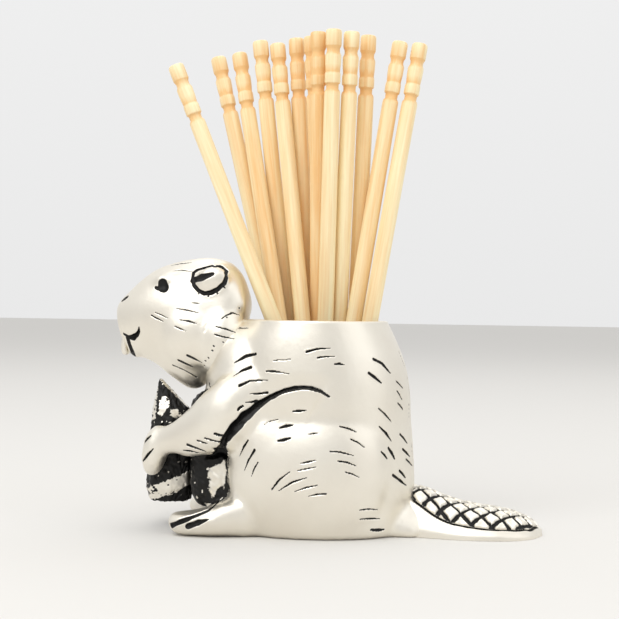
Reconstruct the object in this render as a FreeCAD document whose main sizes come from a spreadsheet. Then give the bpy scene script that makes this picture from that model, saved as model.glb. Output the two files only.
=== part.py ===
# Cast pewter beaver whose hollow body is a cup for turned wooden toothpicks.
# Millimetres. The beaver looks along -X and stands on the plane Z = 0.
# The origin lies on the base, below the axis of the cup. -Y is its left side.
import FreeCAD, Part
import Sketcher
import math
import os

vector = FreeCAD.Vector

# Driving dimensions, each under the piece that it belongs to
sizes = {
    # Toothpick, measured from its turned head down
    "pick_length": 65.0,
    "pick_radius": 1.07,
    "pick_dome": 0.3,
    "cap_length": 2.2,
    "cap_groove_length": 1.15,
    "cap_groove_depth": 0.24,
    "barrel_length": 2.4,
    "barrel_taper": 0.13,
    "ring_length": 1.4,
    "ring_inset": 0.02,
    "neck_groove_length": 0.9,
    "neck_groove_depth": 0.26,
    "shaft_chamfer": 0.3,
    "cone_length": 8.0,
    "tip_radius": 0.12,
    # Cup
    "rim_height": 27.6,
    "cup_floor": 1.2,
    "pick_seat_gap": 0.1,
    "wall": 0.8,
    "fan_clearance": 0.2,
    "cup_draft": 0.4,
    "floor_corner": 0.8,
    # Body around the cup
    "back_swell": 4.2,
    "front_swell": 3.8,
    "side_swell": 0.9,
    "base_corner": 0.7,
    # Shoulders and neck
    "shoulder_forward": 8.0,
    "shoulder_drop": 6.9,
    "shoulder_length": 6.9,
    "shoulder_depth": 9.0,
    "shoulder_height": 7.4,
    # Haunches
    "haunch_forward": 0.3,
    "haunch_spread": 5.7,
    "haunch_lift": 8.4,
    "haunch_length": 10.6,
    "haunch_bulge": 6.6,
    "haunch_height": 10.7,
    # Belly
    "belly_length": 7.5,
    "belly_width": 6.0,
    "belly_height": 8.0,
    "belly_lift": 9.0,
    "log_belly_gap": 0.15,
    # Hind feet
    "toe_reach": 9.1,
    "heel_inset": 4.4,
    "foot_spread": 8.2,
    "foot_lift": 0.9,
    "foot_width": 3.0,
    "foot_height": 2.7,
    "toe_groove_radius": 0.4,
    "toe_groove_gap": 1.9,
    # Head
    "head_length": 17.9,
    "head_rise": 8.3,
    "head_drop": 9.8,
    "head_half_width": 5.6,
    "eye_radius": 0.85,
    "eye_depth": 0.4,
    "mouth_radius": 0.75,
    "tooth_length": 3.4,
    "tooth_thickness": 1.1,
    "tooth_width": 1.9,
    "ear_length": 2.35,
    "ear_height": 1.95,
    "ear_thickness": 1.2,
    "ear_hollow_depth": 0.7,
    # Arms
    "arm_reach": 12.6,
    "arm_height": 4.9,
    "arm_thickness": 2.8,
    "arm_spread": 8.5,
    "paw_length": 1.9,
    "paw_height": 3.15,
    "paw_thickness": 1.8,
    "finger_groove_radius": 0.25,
    # Gnawed log
    "log_forward": 10.3,
    "log_lift": 3.3,
    "log_chin_gap": 1.5,
    "log_half_length": 3.1,
    "log_half_width": 2.7,
    # Tail
    "tail_inset": 1.9,
    "tail_length": 18.7,
    "tail_height": 7.2,
    "tail_half_width": 6.9,
    "scale_length": 2.6,
    "scale_width": 2.9,
    "scale_groove": 0.5,
    "scale_depth": 0.35,
    # Overrun of every cutter
    "overrun": 1.0,
}

doc = FreeCAD.newDocument("ToothpickHolder")
sheet = doc.addObject("Spreadsheet::Sheet", "Sizes")
for row, (name, value) in enumerate(sizes.items(), start=1):
    sheet.set("A%d" % row, name)
    sheet.set("B%d" % row, str(value))
    sheet.setAlias("B%d" % row, name)
doc.recompute()


# Value of a cell, for the shapes that are worked out here
def size(name):
    return float(sheet.get(name))


# Places of the toothpicks, in toothpick radii: x and y at the cup's floor, then at its rim
pick_place_shares = (
    (4.567, -1.884, -5.465, -0.981),
    (0.381, 1.052, -5.743, 4.000),
    (-0.504, -2.306, -5.025, 1.786),
    (-1.507, 5.395, -4.347, 5.667),
    (0.764, -0.649, -2.112, 2.146),
    (-0.480, 7.241, -1.815, 6.692),
    (1.676, 7.043, 0.306, 5.909),
    (-0.211, 5.520, -0.356, 3.815),
    (0.329, 3.372, 0.798, 1.952),
    (1.628, 5.115, 2.445, 3.484),
    (3.562, 5.782, 4.373, 5.194),
    (0.708, 0.700, 4.346, 2.381),
    (2.418, -0.709, 6.404, 1.600),
)
# How far the bundle reaches at the rim, lengthwise and crosswise, in toothpick radii
fan_reach_share = 7.62
fan_spread_share = 8.7

pick_radius = size("pick_radius")
cup_reach = fan_reach_share * pick_radius + size("fan_clearance")
cup_spread = fan_spread_share * pick_radius + size("fan_clearance")
rim_reach = cup_reach + size("wall")
rim_spread = cup_spread + size("wall")
rim_height = size("rim_height")
seat_height = size("cup_floor") + size("pick_seat_gap")
side_signs = {"left": -1, "right": 1}
oval_points = 8


# Smooth closed curve round an oval with the two given half axes, in two halves
def oval(centre, half_axis_a, half_axis_b):
    points = []
    for number in range(oval_points):
        angle = math.tau * number / oval_points
        points.append(centre + half_axis_a * math.cos(angle) + half_axis_b * math.sin(angle))
    curve = Part.BSplineCurve()
    curve.interpolate(points, PeriodicFlag=True)
    middle = (curve.FirstParameter + curve.LastParameter) / 2
    halves = []
    for start, end in ((curve.FirstParameter, middle), (middle, curve.LastParameter)):
        half = curve.copy()
        half.segment(start, end)
        halves.append(half.toShape())
    return Part.Wire(halves)


def level_oval(back, front, half_depth, height):
    centre = vector((back - front) / 2, 0, height)
    return oval(centre, vector((back + front) / 2, 0, 0), vector(0, half_depth, 0))


def upright_oval(centre, half_width, half_height):
    return oval(centre, vector(0, half_width, 0), vector(0, 0, half_height))


# Document object that holds a shape made with Part's own functions
def shaped(name, shape):
    feature = doc.addObject("Part::Feature", name)
    feature.Shape = shape
    return feature


# Ellipsoid whose half axes and centre are bound to the sheet
def ellipsoid(name, half_axes, centre):
    solid = doc.addObject("Part::Ellipsoid", name)
    for prop, formula in zip(("Radius2", "Radius3", "Radius1"), half_axes):
        solid.setExpression(prop, formula)
    for axis, formula in zip("xyz", centre):
        solid.setExpression("Placement.Base." + axis, formula)
    return solid


# Round bar whose radius and length are bound to the sheet
def round_bar(name, radius, length, start, direction):
    bar = doc.addObject("Part::Cylinder", name)
    bar.setExpression("Radius", radius)
    bar.setExpression("Height", length)
    bar.Placement = FreeCAD.Placement(start, FreeCAD.Rotation(vector(0, 0, 1), direction))
    return bar


def fused(name, pieces):
    result = doc.addObject("Part::MultiFuse", name)
    result.Shapes = pieces
    return result


def cut(name, base, tool):
    result = doc.addObject("Part::Cut", name)
    result.Base = base
    result.Tool = tool
    return result


# Piece with each of several tools cut away in turn
def cut_by(name, piece, tools):
    for number, tool in enumerate(tools, start=1):
        piece = cut("%s_%d" % (name, number), piece, tool)
    return piece


def common(name, first, second):
    result = doc.addObject("Part::MultiCommon", name)
    result.Shapes = [first, second]
    return result


# Point where a level line across the beaver leaves a solid, on its right side
def skin_point(solid, place_x, height):
    line = Part.makeLine(vector(place_x, 0, height), vector(place_x, reach_all, height))
    inside = solid.common(line)
    return vector(place_x, inside.BoundBox.YMax, height)


# Blocks below the base and above the rim
reach_all = size("tail_length") + size("head_length") + rim_reach + rim_height
ground = shaped("ground", Part.makeBox(
    2 * reach_all, 2 * reach_all, reach_all, vector(-reach_all, -reach_all, -reach_all)))
sky = shaped("sky", Part.makeBox(
    2 * reach_all, 2 * reach_all, reach_all, vector(-reach_all, -reach_all, rim_height)))

# Gnawed log: corners of its section, then height share, girth share and lean share
log_corner_shares = (
    (-1.0, -0.25), (-0.70, -0.85), (0.10, -1.0), (0.85, -0.65),
    (1.0, 0.30), (0.35, 1.0), (-0.65, 0.80),
)
log_level_shares = (
    (0.0, 0.86, 0.0),
    (0.10, 1.03, 0.0),
    (0.58, 0.92, 0.03),
    (0.76, 0.78, -0.02),
    (1.0, 0.07, -0.48),
)
# Share of the head's drop at which the chin hangs over the log's point
chin_drop_share = 0.673
log_top = rim_height - chin_drop_share * size("head_drop") - size("log_chin_gap")
log_length = log_top - size("log_lift")
# Back of the log where it is thickest
log_back = -rim_reach - size("log_forward") + size("log_half_length") * max(
    girth_share + lean_share for height_share, girth_share, lean_share in log_level_shares)
log_sections = []
for height_share, girth_share, lean_share in log_level_shares:
    corners = []
    for share_x, share_y in log_corner_shares + log_corner_shares[:1]:
        corners.append(vector(
            -rim_reach - size("log_forward")
            + (share_x * girth_share + lean_share) * size("log_half_length"),
            share_y * girth_share * size("log_half_width"),
            size("log_lift") + height_share * log_length))
    log_sections.append(Part.makePolygon(corners))
gnawed_log = shaped("gnawed_log", Part.makeLoft(log_sections, True, True))

# Barrel of the body: height share, then swell shares at the back, front and sides
barrel_shares = (
    (0.18, 0.93, 0.87, 0.64),
    (0.36, 0.90, 0.92, 0.90),
    (0.54, 0.80, 0.88, 1.00),
    (0.69, 0.74, 0.80, 0.96),
    (0.82, 0.55, 0.66, 0.72),
    (0.91, 0.30, 0.40, 0.44),
    (0.965, 0.13, 0.16, 0.18),
    (1.0, 0.0, 0.0, 0.0),
)
base_swell_shares = (0.72, 0.68, 0.25)


def barrel_oval(height, back_share, front_share, side_share, inset=0):
    return level_oval(
        rim_reach + back_share * size("back_swell") - inset,
        rim_reach + front_share * size("front_swell") - inset,
        rim_spread + side_share * size("side_swell") - inset, height)


barrel_sections = [
    barrel_oval(0, *base_swell_shares, inset=size("base_corner")),
    barrel_oval(size("base_corner"), *base_swell_shares),
]
for height_share, back_share, front_share, side_share in barrel_shares:
    barrel_sections.append(
        barrel_oval(height_share * rim_height, back_share, front_share, side_share))
barrel = shaped("barrel", Part.makeLoft(barrel_sections, True))

# Shoulders, belly, haunches and hind feet swell out of the barrel
foot_middle = -rim_reach - (size("toe_reach") - size("heel_inset")) / 2
shoulders = cut("shoulders_to_rim", ellipsoid(
    "shoulders",
    ("Sizes.shoulder_length", "Sizes.shoulder_depth", "Sizes.shoulder_height"),
    ("-Sizes.shoulder_forward", "0", "Sizes.rim_height - Sizes.shoulder_drop")), sky)
belly = ellipsoid(
    "belly", ("Sizes.belly_length", "Sizes.belly_width", "Sizes.belly_height"), ())
belly.Placement.Base = vector(
    log_back + size("log_belly_gap") + size("belly_length"), 0, size("belly_lift"))
body_forms = [barrel, shoulders, belly]
haunches = {}
for side, sign in side_signs.items():
    haunches[side] = ellipsoid(
        side + "_haunch",
        ("Sizes.haunch_length", "Sizes.haunch_bulge", "Sizes.haunch_height"),
        ("-Sizes.haunch_forward", "%d * Sizes.haunch_spread" % sign, "Sizes.haunch_lift"))
    body_forms.append(haunches[side])
    foot = ellipsoid(
        side + "_foot",
        ("(Sizes.toe_reach + Sizes.heel_inset) / 2", "Sizes.foot_width", "Sizes.foot_height"),
        ())
    foot.Placement.Base = vector(foot_middle, sign * size("foot_spread"), size("foot_lift"))
    body_forms.append(foot)
body_mass = fused("body_mass", body_forms)
body_outside = cut("body_outside", body_mass, ground)

# Toe grooves over the hind feet
toe_slope = vector(1, 0, 0.36)
toe_grooves = []
for side, sign in side_signs.items():
    for place in (-1, 1):
        start = vector(
            -rim_reach - size("toe_reach"),
            sign * size("foot_spread") + place * size("toe_groove_gap") / 2,
            size("foot_lift"))
        toe_grooves.append(round_bar(
            side + "_toe_groove", "Sizes.toe_groove_radius", "Sizes.toe_reach * 2 / 3",
            start, toe_slope))


# Hollow of the cup, drawn in a little towards its floor
def cup_oval(inset, height):
    return level_oval(cup_reach - inset, cup_reach - inset, cup_spread - inset, height)


draft = size("cup_draft")
corner = size("floor_corner")
cup_floor = size("cup_floor")
hollow = shaped("cup_hollow", Part.makeLoft([
    cup_oval(draft + corner, cup_floor),
    cup_oval(draft + corner / 3, cup_floor + corner / 3),
    cup_oval(draft, cup_floor + corner),
    cup_oval(draft / 2, (rim_height + cup_floor) / 2),
    cup_oval(0, rim_height),
    cup_oval(0, rim_height + size("overrun"))], True, True))
cup_body = cut_by("cup_body", body_outside, [hollow] + toe_grooves)

# Head: forward share, top and bottom shares of rise and drop, half width share
head_shares = (
    (0.03, 0.60, -0.02, 0.28),
    (0.10, 0.83, -0.26, 0.62),
    (0.24, 0.965, -0.62, 0.90),
    (0.40, 0.965, -0.97, 1.00),
    (0.55, 0.90, -0.82, 0.95),
    (0.70, 0.78, -0.60, 0.80),
    (0.84, 0.555, -0.475, 0.62),
    (0.93, 0.36, -0.33, 0.46),
    (0.98, 0.245, -0.135, 0.30),
    (1.0, 0.175, 0.065, 0.10),
)
# Forward share of the head's length and share of its rise or drop
ear_place_shares = (0.25, 0.64)
eye_place_shares = (0.606, 0.515)
mouth_place_shares = (0.865, -0.235)
tooth_place_shares = (0.925, -0.36)


def head_x(forward_share):
    return -rim_reach - forward_share * size("head_length")


head_sections = []
for forward_share, top_share, bottom_share, width_share in head_shares:
    top = rim_height + top_share * size("head_rise")
    bottom = rim_height + bottom_share * size("head_drop")
    head_sections.append(upright_oval(
        vector(head_x(forward_share), 0, (top + bottom) / 2),
        width_share * size("head_half_width"), (top - bottom) / 2))
skull = Part.makeLoft(head_sections, True)

head_forms = [shaped("skull", skull)]
head_cutters = []
tooth = ellipsoid(
    "tooth",
    ("Sizes.tooth_thickness / 2", "Sizes.tooth_width / 2", "Sizes.tooth_length / 2"), ())
tooth.Placement.Base = vector(
    head_x(tooth_place_shares[0]), 0, rim_height + tooth_place_shares[1] * size("head_drop"))
head_forms.append(tooth)
mouth_start = vector(
    head_x(mouth_place_shares[0]), -size("head_half_width"),
    rim_height + mouth_place_shares[1] * size("head_drop"))
head_cutters.append(round_bar(
    "mouth", "Sizes.mouth_radius", "2 * Sizes.head_half_width", mouth_start, vector(0, 1, 0)))
ear_skin = skin_point(
    skull, head_x(ear_place_shares[0]), rim_height + ear_place_shares[1] * size("head_rise"))
eye_skin = skin_point(
    skull, head_x(eye_place_shares[0]), rim_height + eye_place_shares[1] * size("head_rise"))
ear_tilt = FreeCAD.Rotation(vector(0, 1, 0), -18)
ear_bowl_share = 0.72
ear_bowl = "Sizes.ear_length * %s" % ear_bowl_share
for side, sign in side_signs.items():
    ear = ellipsoid(
        side + "_ear", ("Sizes.ear_length", "Sizes.ear_thickness", "Sizes.ear_height"), ())
    ear.Placement = FreeCAD.Placement(vector(ear_skin.x, sign * ear_skin.y, ear_skin.z), ear_tilt)
    head_forms.append(ear)
    ear_hollow = ellipsoid(
        side + "_ear_hollow",
        (ear_bowl, "Sizes.ear_hollow_depth", ear_bowl.replace("length", "height")), ())
    ear_hollow.Placement = FreeCAD.Placement(
        vector(ear_skin.x, sign * (ear_skin.y + size("ear_thickness")), ear_skin.z), ear_tilt)
    head_cutters.append(ear_hollow)
    eye = doc.addObject("Part::Sphere", side + "_eye")
    eye.setExpression("Radius", "Sizes.eye_radius")
    eye_out = eye_skin.y + size("eye_radius") - size("eye_depth")
    eye.Placement = FreeCAD.Placement(
        vector(eye_skin.x, sign * eye_out, eye_skin.z),
        FreeCAD.Rotation(vector(1, 0, 0), vector(0, sign, 0)))
    head_cutters.append(eye)
head_mass = fused("head_mass", head_forms)
head = cut_by("head", head_mass, [shoulders, barrel] + head_cutters)

# Arm: forward share, height share, spread share, then half width and half height shares
arm_shares = (
    (-0.45, 0.63, 0.80, 0.55, 0.85),
    (-0.10, 0.594, 0.97, 0.85, 1.00),
    (0.14, 0.562, 1.00, 1.00, 1.00),
    (0.35, 0.518, 0.94, 0.93, 0.85),
    (0.54, 0.467, 0.81, 0.79, 0.63),
    (0.72, 0.438, 0.67, 0.64, 0.42),
    (0.88, 0.409, 0.54, 0.54, 0.39),
)
paw_place_shares = (0.90, 0.377, 0.51)
finger_shares = (0.33, -0.36)
arms = {}
for side, sign in side_signs.items():
    arm_sections = []
    for forward_share, height_share, spread_share, width_share, tall_share in arm_shares:
        arm_sections.append(upright_oval(
            vector(
                -rim_reach - forward_share * size("arm_reach"),
                sign * spread_share * size("arm_spread"), height_share * rim_height),
            width_share * size("arm_thickness"), tall_share * size("arm_height")))
    limb = shaped(side + "_limb", Part.makeLoft(arm_sections, True))
    paw_centre = vector(
        -rim_reach - paw_place_shares[0] * size("arm_reach"),
        sign * paw_place_shares[2] * size("arm_spread"), paw_place_shares[1] * rim_height)
    paw = ellipsoid(
        side + "_paw", ("Sizes.paw_length", "Sizes.paw_thickness", "Sizes.paw_height"), ())
    paw.Placement.Base = paw_centre
    limb_and_paw = fused(side + "_limb_and_paw", [limb, paw])
    fingers = []
    for finger_share in finger_shares:
        start = paw_centre + vector(
            -size("paw_length"), -sign * size("paw_thickness"),
            finger_share * size("paw_height"))
        fingers.append(round_bar(
            side + "_finger_groove", "Sizes.finger_groove_radius",
            "4 * Sizes.paw_thickness", start, vector(0.45, sign, 0.35)))
    arms[side] = cut_by(
        side + "_arm", limb_and_paw,
        [barrel, shoulders, haunches[side], belly, gnawed_log] + fingers)

# Tail: along share, crown share and half width share
tail_shares = (
    (0.0, 1.0, 0.72),
    (0.104, 0.875, 0.76),
    (0.211, 0.79, 0.84),
    (0.334, 0.667, 0.93),
    (0.452, 0.576, 0.985),
    (0.586, 0.514, 1.0),
    (0.735, 0.456, 0.95),
    (0.853, 0.375, 0.80),
    (0.939, 0.257, 0.55),
    (1.0, 0.104, 0.16),
)
# Half of the tail's section: outward share of the half width, height share of the crown
tail_section_shares = (
    (1.0, 0.0), (0.98, 0.20), (0.86, 0.46), (0.62, 0.76), (0.32, 0.94), (0.0, 1.0))
tail_root = rim_reach + size("tail_inset")

# Domed paddle
tail_sections = []
for along_share, crown_share, width_share in tail_shares:
    place_x = tail_root + along_share * size("tail_length")
    half_width = width_share * size("tail_half_width")
    crown = crown_share * size("tail_height")
    left_side = []
    right_side = []
    for out_share, up_share in tail_section_shares:
        left_side.append(vector(place_x, -out_share * half_width, up_share * crown))
        right_side.append(vector(place_x, out_share * half_width, up_share * crown))
    right_side.reverse()
    curve = Part.BSplineCurve()
    curve.interpolate(left_side + right_side[1:])
    bottom = Part.makeLine(right_side[-1], left_side[0])
    tail_sections.append(Part.Wire([curve.toShape(), bottom]))
tail_mass = shaped("tail_mass", Part.makeLoft(tail_sections, True))

# Field that the scales fill: along share, then share of the half width
scale_field_shares = (
    (0.11, 0.62),
    (0.25, 0.79),
    (0.45, 0.91),
    (0.72, 0.92),
    (0.86, 0.80),
    (0.95, 0.30),
)
groove_samples = 60
groove_bends = 5


# Value between the rows of a table, from one of its columns
def share_at(table, place, column):
    for low, high in zip(table, table[1:]):
        if low[0] <= place <= high[0]:
            part = (place - low[0]) / (high[0] - low[0])
            return low[column] + part * (high[column] - low[column])
    return 0


# Plan of one groove, where it crosses the field of scales
def groove_plan(crossing, sign):
    run = []
    for number in range(groove_samples + 1):
        out = (2 * number / groove_samples - 1) * size("tail_half_width")
        place_x = crossing + out * size("scale_length") / size("scale_width")
        along_share = (place_x - tail_root) / size("tail_length")
        limit = share_at(scale_field_shares, along_share, 1) * size("tail_half_width")
        if abs(out) < limit * share_at(tail_shares, along_share, 2):
            run.append(vector(place_x, sign * out, 0))
    return run


# Upright blade whose lower edge follows the paddle at the depth of a groove
def groove_blade(run):
    last = len(run) - 1
    places = [run[round(bend * last / groove_bends)] for bend in range(groove_bends + 1)]
    over = vector(0, 0, size("tail_height") + size("overrun"))
    edge = []
    for place in places:
        upright = tail_mass.Shape.common(Part.makeLine(place, place + over))
        edge.append(place + vector(0, 0, upright.BoundBox.ZMax - size("scale_depth")))
    edge += [places[-1] + over, places[0] + over]
    across = vector(0, 0, 1).cross((places[-1] - places[0]).normalize()) * size("scale_groove")
    blade = Part.Face(Part.makePolygon(edge + edge[:1]))
    blade.translate(across * -0.5)
    return blade.extrude(across)


# Two crossing families of grooves leave the scales standing
lattice_overhang = size("tail_half_width") * size("scale_length") / size("scale_width")
groove_count = math.ceil((size("tail_length") + 2 * lattice_overhang) / size("scale_length"))
groove_families = []
for side, sign in side_signs.items():
    blades = []
    for number in range(groove_count):
        run = groove_plan(tail_root - lattice_overhang + number * size("scale_length"), sign)
        if len(run) > groove_bends:
            blades.append(groove_blade(run))
    groove_families.append(shaped(side + "_scale_grooves", Part.makeCompound(blades)))
tail = cut_by("tail", tail_mass, [barrel] + groove_families)

# Toothpick outline from its tip up: radius and drop from the top of the head
barrel_start = "Sizes.cap_length + Sizes.cap_groove_length"
ring_start = barrel_start + " + Sizes.barrel_length"
neck_start = ring_start + " + Sizes.ring_length"
shaft_start = neck_start + " + Sizes.neck_groove_length"
pick_outline = (
    ("Sizes.tip_radius", "Sizes.pick_length"),
    ("Sizes.pick_radius", "Sizes.pick_length - Sizes.cone_length"),
    ("Sizes.pick_radius", shaft_start + " + Sizes.shaft_chamfer"),
    ("Sizes.pick_radius - Sizes.shaft_chamfer / 3", shaft_start),
    ("Sizes.pick_radius - Sizes.neck_groove_depth", neck_start),
    ("Sizes.pick_radius - Sizes.ring_inset", neck_start),
    ("Sizes.pick_radius - Sizes.ring_inset", ring_start),
    ("Sizes.pick_radius - Sizes.barrel_taper", ring_start),
    ("Sizes.pick_radius", barrel_start),
    ("Sizes.pick_radius - Sizes.cap_groove_depth", "Sizes.cap_length"),
    ("Sizes.pick_radius", "Sizes.cap_length"),
    ("Sizes.pick_radius", "Sizes.pick_dome"),
    ("Sizes.pick_radius - Sizes.pick_dome", "0"),
)


# Toothpick turned from one outline, point down at its own origin
def toothpick(name):
    body = doc.addObject("PartDesign::Body", name)
    sketch = body.newObject("Sketcher::SketchObject", name + "_outline")
    for plane in body.Origin.OriginFeatures:
        if plane.Role == "XZ_Plane":
            sketch.AttachmentSupport = (plane, "")
    sketch.MapMode = "FlatFace"
    guesses = [vector(0, 0, 0)]
    for radius, drop in pick_outline:
        guesses.append(vector(
            doc.Sizes.evalExpression(radius), size("pick_length") - doc.Sizes.evalExpression(drop), 0))
    guesses.append(vector(0, size("pick_length"), 0))
    guesses.append(guesses[0])
    for start, end in zip(guesses, guesses[1:]):
        sketch.addGeometry(Part.LineSegment(start, end), False)
    last = len(guesses) - 2
    sketch.addConstraint(Sketcher.Constraint("Coincident", 0, 1, -1, 1))
    for line in range(last):
        sketch.addConstraint(Sketcher.Constraint("Coincident", line, 2, line + 1, 1))
    sketch.addConstraint(Sketcher.Constraint("Coincident", last, 2, 0, 1))
    sketch.addConstraint(Sketcher.Constraint("PointOnObject", last, 1, -2))
    top = sketch.addConstraint(Sketcher.Constraint(
        "DistanceY", -1, 1, last, 1, size("pick_length")))
    sketch.setExpression("Constraints[%d]" % top, "Sizes.pick_length")
    for line, (radius, drop) in enumerate(pick_outline):
        point = guesses[line + 1]
        out = sketch.addConstraint(Sketcher.Constraint("DistanceX", -1, 1, line, 2, point.x))
        sketch.setExpression("Constraints[%d]" % out, radius)
        if line == 0:
            sketch.addConstraint(Sketcher.Constraint("Horizontal", 0))
            continue
        up = sketch.addConstraint(Sketcher.Constraint("DistanceY", -1, 1, line, 2, point.y))
        sketch.setExpression("Constraints[%d]" % up, "Sizes.pick_length - (%s)" % drop)
    turning = body.newObject("PartDesign::Revolution", name + "_turning")
    turning.Profile = sketch
    turning.ReferenceAxis = (sketch, ["V_Axis"])
    turning.Angle = 360
    return body


nodes = {
    "cup_body": cup_body,
    "head": head,
    "left_arm": arms["left"],
    "right_arm": arms["right"],
    "gnawed_log": gnawed_log,
    "tail": tail,
}
for number, (foot_x, foot_y, rim_x, rim_y) in enumerate(pick_place_shares, start=1):
    name = "toothpick_%02d" % number
    pick = toothpick(name)
    foot = vector(foot_x * pick_radius, foot_y * pick_radius, seat_height)
    at_rim = vector(rim_x * pick_radius, rim_y * pick_radius, rim_height)
    pick.Placement = FreeCAD.Placement(
        foot, FreeCAD.Rotation(vector(0, 0, 1), at_rim - foot))
    nodes[name] = pick

doc.recompute()

# Nothing is written unless every object is sound
for item in doc.Objects:
    if "Invalid" in item.State or "Error" in item.State:
        raise RuntimeError("%s did not recompute" % item.Name)
for name, item in nodes.items():
    item.Label = name
    if item.Shape.isNull() or not item.Shape.isValid():
        raise RuntimeError("%s has no sound shape" % name)
    print(name, len(item.Shape.Solids), round(item.Shape.Volume, 1))
os.makedirs("parts", exist_ok=True)
for name, item in nodes.items():
    item.Shape.exportStep("parts/%s.step" % name)
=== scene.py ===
import math

import bmesh
import bpy
import numpy as np
from mathutils import Matrix, Vector
from mathutils.bvhtree import BVHTree


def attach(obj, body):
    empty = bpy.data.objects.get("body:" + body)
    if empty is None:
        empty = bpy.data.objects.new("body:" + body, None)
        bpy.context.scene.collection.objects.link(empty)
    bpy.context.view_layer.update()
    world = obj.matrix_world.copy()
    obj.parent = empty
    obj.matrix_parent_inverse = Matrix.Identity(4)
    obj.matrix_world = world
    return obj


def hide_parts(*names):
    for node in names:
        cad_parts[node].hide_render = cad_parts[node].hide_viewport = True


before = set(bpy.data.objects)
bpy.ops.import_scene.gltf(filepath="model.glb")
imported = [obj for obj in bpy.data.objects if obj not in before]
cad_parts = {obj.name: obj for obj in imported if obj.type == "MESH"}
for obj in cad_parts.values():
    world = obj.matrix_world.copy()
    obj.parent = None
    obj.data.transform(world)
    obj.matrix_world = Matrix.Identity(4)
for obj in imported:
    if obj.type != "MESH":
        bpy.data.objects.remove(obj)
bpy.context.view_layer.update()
mm = 0.001

# Where the photograph was taken from, in millimetres and pixels
photo = {
    "width": 619,
    "distance": 190.0,
    "pixelsPerMm": 7.54,
    "turn": 5.0,
    "roll": 0.85,
    "aimHeight": 29.0,
    "aimSide": -1.127,
}


def linked(name, data):
    made = bpy.data.objects.new(name, data)
    bpy.context.collection.objects.link(made)
    return made


def makeCamera():
    turn = math.radians(photo["turn"])
    roll = math.radians(photo["roll"])
    forward = Vector((-math.sin(turn), math.cos(turn), 0))
    right = Vector((math.cos(turn), math.sin(turn), 0))
    up = Vector((0, 0, 1))
    eye = right * photo["aimSide"] - forward * photo["distance"]
    eye.z = photo["aimHeight"]
    cameraRight = right * math.cos(roll) + up * math.sin(roll)
    cameraUp = up * math.cos(roll) - right * math.sin(roll)
    turned = Matrix((cameraRight, cameraUp, -forward)).transposed()
    lens = bpy.data.cameras.new("photoCamera")
    lens.lens = lens.sensor_width * photo["pixelsPerMm"] * photo["distance"] / photo["width"]
    lens.clip_start = 0.01
    camera = linked("photoCamera", lens)
    camera.matrix_world = Matrix.Translation(eye * mm) @ turned.to_4x4()
    bpy.context.scene.camera = camera
    return eye, turned


eyePoint, cameraTurn = makeCamera()
print("camera placed")


# Direction from the camera through a pixel of the photograph
def pixelRay(px, py):
    half = photo["width"] / 2
    focal = photo["pixelsPerMm"] * photo["distance"]
    return (cameraTurn @ Vector(((px - half) / focal, (half - py) / focal, -1))).normalized()


def smoothStep(low, high, value):
    share = np.clip((value - low) / (high - low), 0, 1)
    return share * share * (3 - 2 * share)


# Pixels of the photograph at which points show
def pixelsOf(points):
    seen = (points - np.array(eyePoint)) @ np.array(cameraTurn)
    focal = photo["pixelsPerMm"] * photo["distance"]
    half = photo["width"] / 2
    return np.column_stack([half - focal * seen[:, 0] / seen[:, 2], half + focal * seen[:, 1] / seen[:, 2]])


# How far inside an outline drawn over the photograph each pixel lies, below 0 outside it
def depthInside(pixels, outline):
    corners = np.array(outline, float)
    nearest = np.full(len(pixels), 1e9)
    inside = np.zeros(len(pixels), bool)
    for a, b in zip(corners, np.roll(corners, -1, axis=0)):
        run = b - a
        share = np.clip(((pixels - a) @ run) / (run @ run), 0, 1)
        nearest = np.minimum(nearest, np.linalg.norm(pixels - a - share[:, None] * run, axis=1))
        crosses = (a[1] > pixels[:, 1]) != (b[1] > pixels[:, 1])
        rise = run[1] if abs(run[1]) > 1e-9 else 1e-9
        inside ^= crosses & (pixels[:, 0] < a[0] + (pixels[:, 1] - a[1]) * run[0] / rise)
    return np.where(inside, nearest, -nearest)


# Uneven field between about -1 and 1, made of crossed waves of the given length in millimetres
def unevenness(points, length, seed):
    seeded = np.random.default_rng(seed)
    total = np.zeros(len(points))
    for _ in range(14):
        direction = seeded.normal(size=3)
        direction /= np.linalg.norm(direction)
        wave = 2 * math.pi / (length * seeded.uniform(0.6, 1.6))
        total += np.sin(points @ direction * wave + seeded.uniform(0, 2 * math.pi))
    return total / 4


# Sum of such fields: length, seed and height of each
def roughEdge(points, waves):
    return sum(unevenness(points, length, seed) * height for length, seed, height in waves)


# Smooth values between given ones, without overshoot at the ends
def smoothCurve(places, values, at):
    places = np.asarray(places, float)
    values = np.asarray(values, float)
    slopes = np.gradient(values, places)
    index = np.clip(np.searchsorted(places, at) - 1, 0, len(places) - 2)
    step = places[index + 1] - places[index]
    share = np.clip((at - places[index]) / step, 0, 1)
    a, b = values[index], values[index + 1]
    ma, mb = slopes[index] * step, slopes[index + 1] * step
    return ((2 * share**3 - 3 * share**2 + 1) * a + (share**3 - 2 * share**2 + share) * ma
            + (3 * share**2 - 2 * share**3) * b + (share**3 - share**2) * mb)


# The further columns of a table at a place in its first one
def station(table, at):
    table = np.array(table)
    return [smoothCurve(table[:, 0], column, at) for column in table.T[1:]]


# Closed form from rings of points, each ring as long as the next
def ringForm(rings):
    rings = np.asarray(rings, float)
    count, around = rings.shape[:2]
    points = np.vstack([rings.reshape(-1, 3), rings[0].mean(0), rings[-1].mean(0)])
    first, last = count * around, count * around + 1
    faces = []
    for i in range(around):
        j = (i + 1) % around
        for ring in range(count - 1):
            a, b = ring * around, (ring + 1) * around
            faces.append((a + i, a + j, b + j, b + i))
        faces.append((first, j, i))
        faces.append((last, (count - 1) * around + i, (count - 1) * around + j))
    return points, faces


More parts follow.
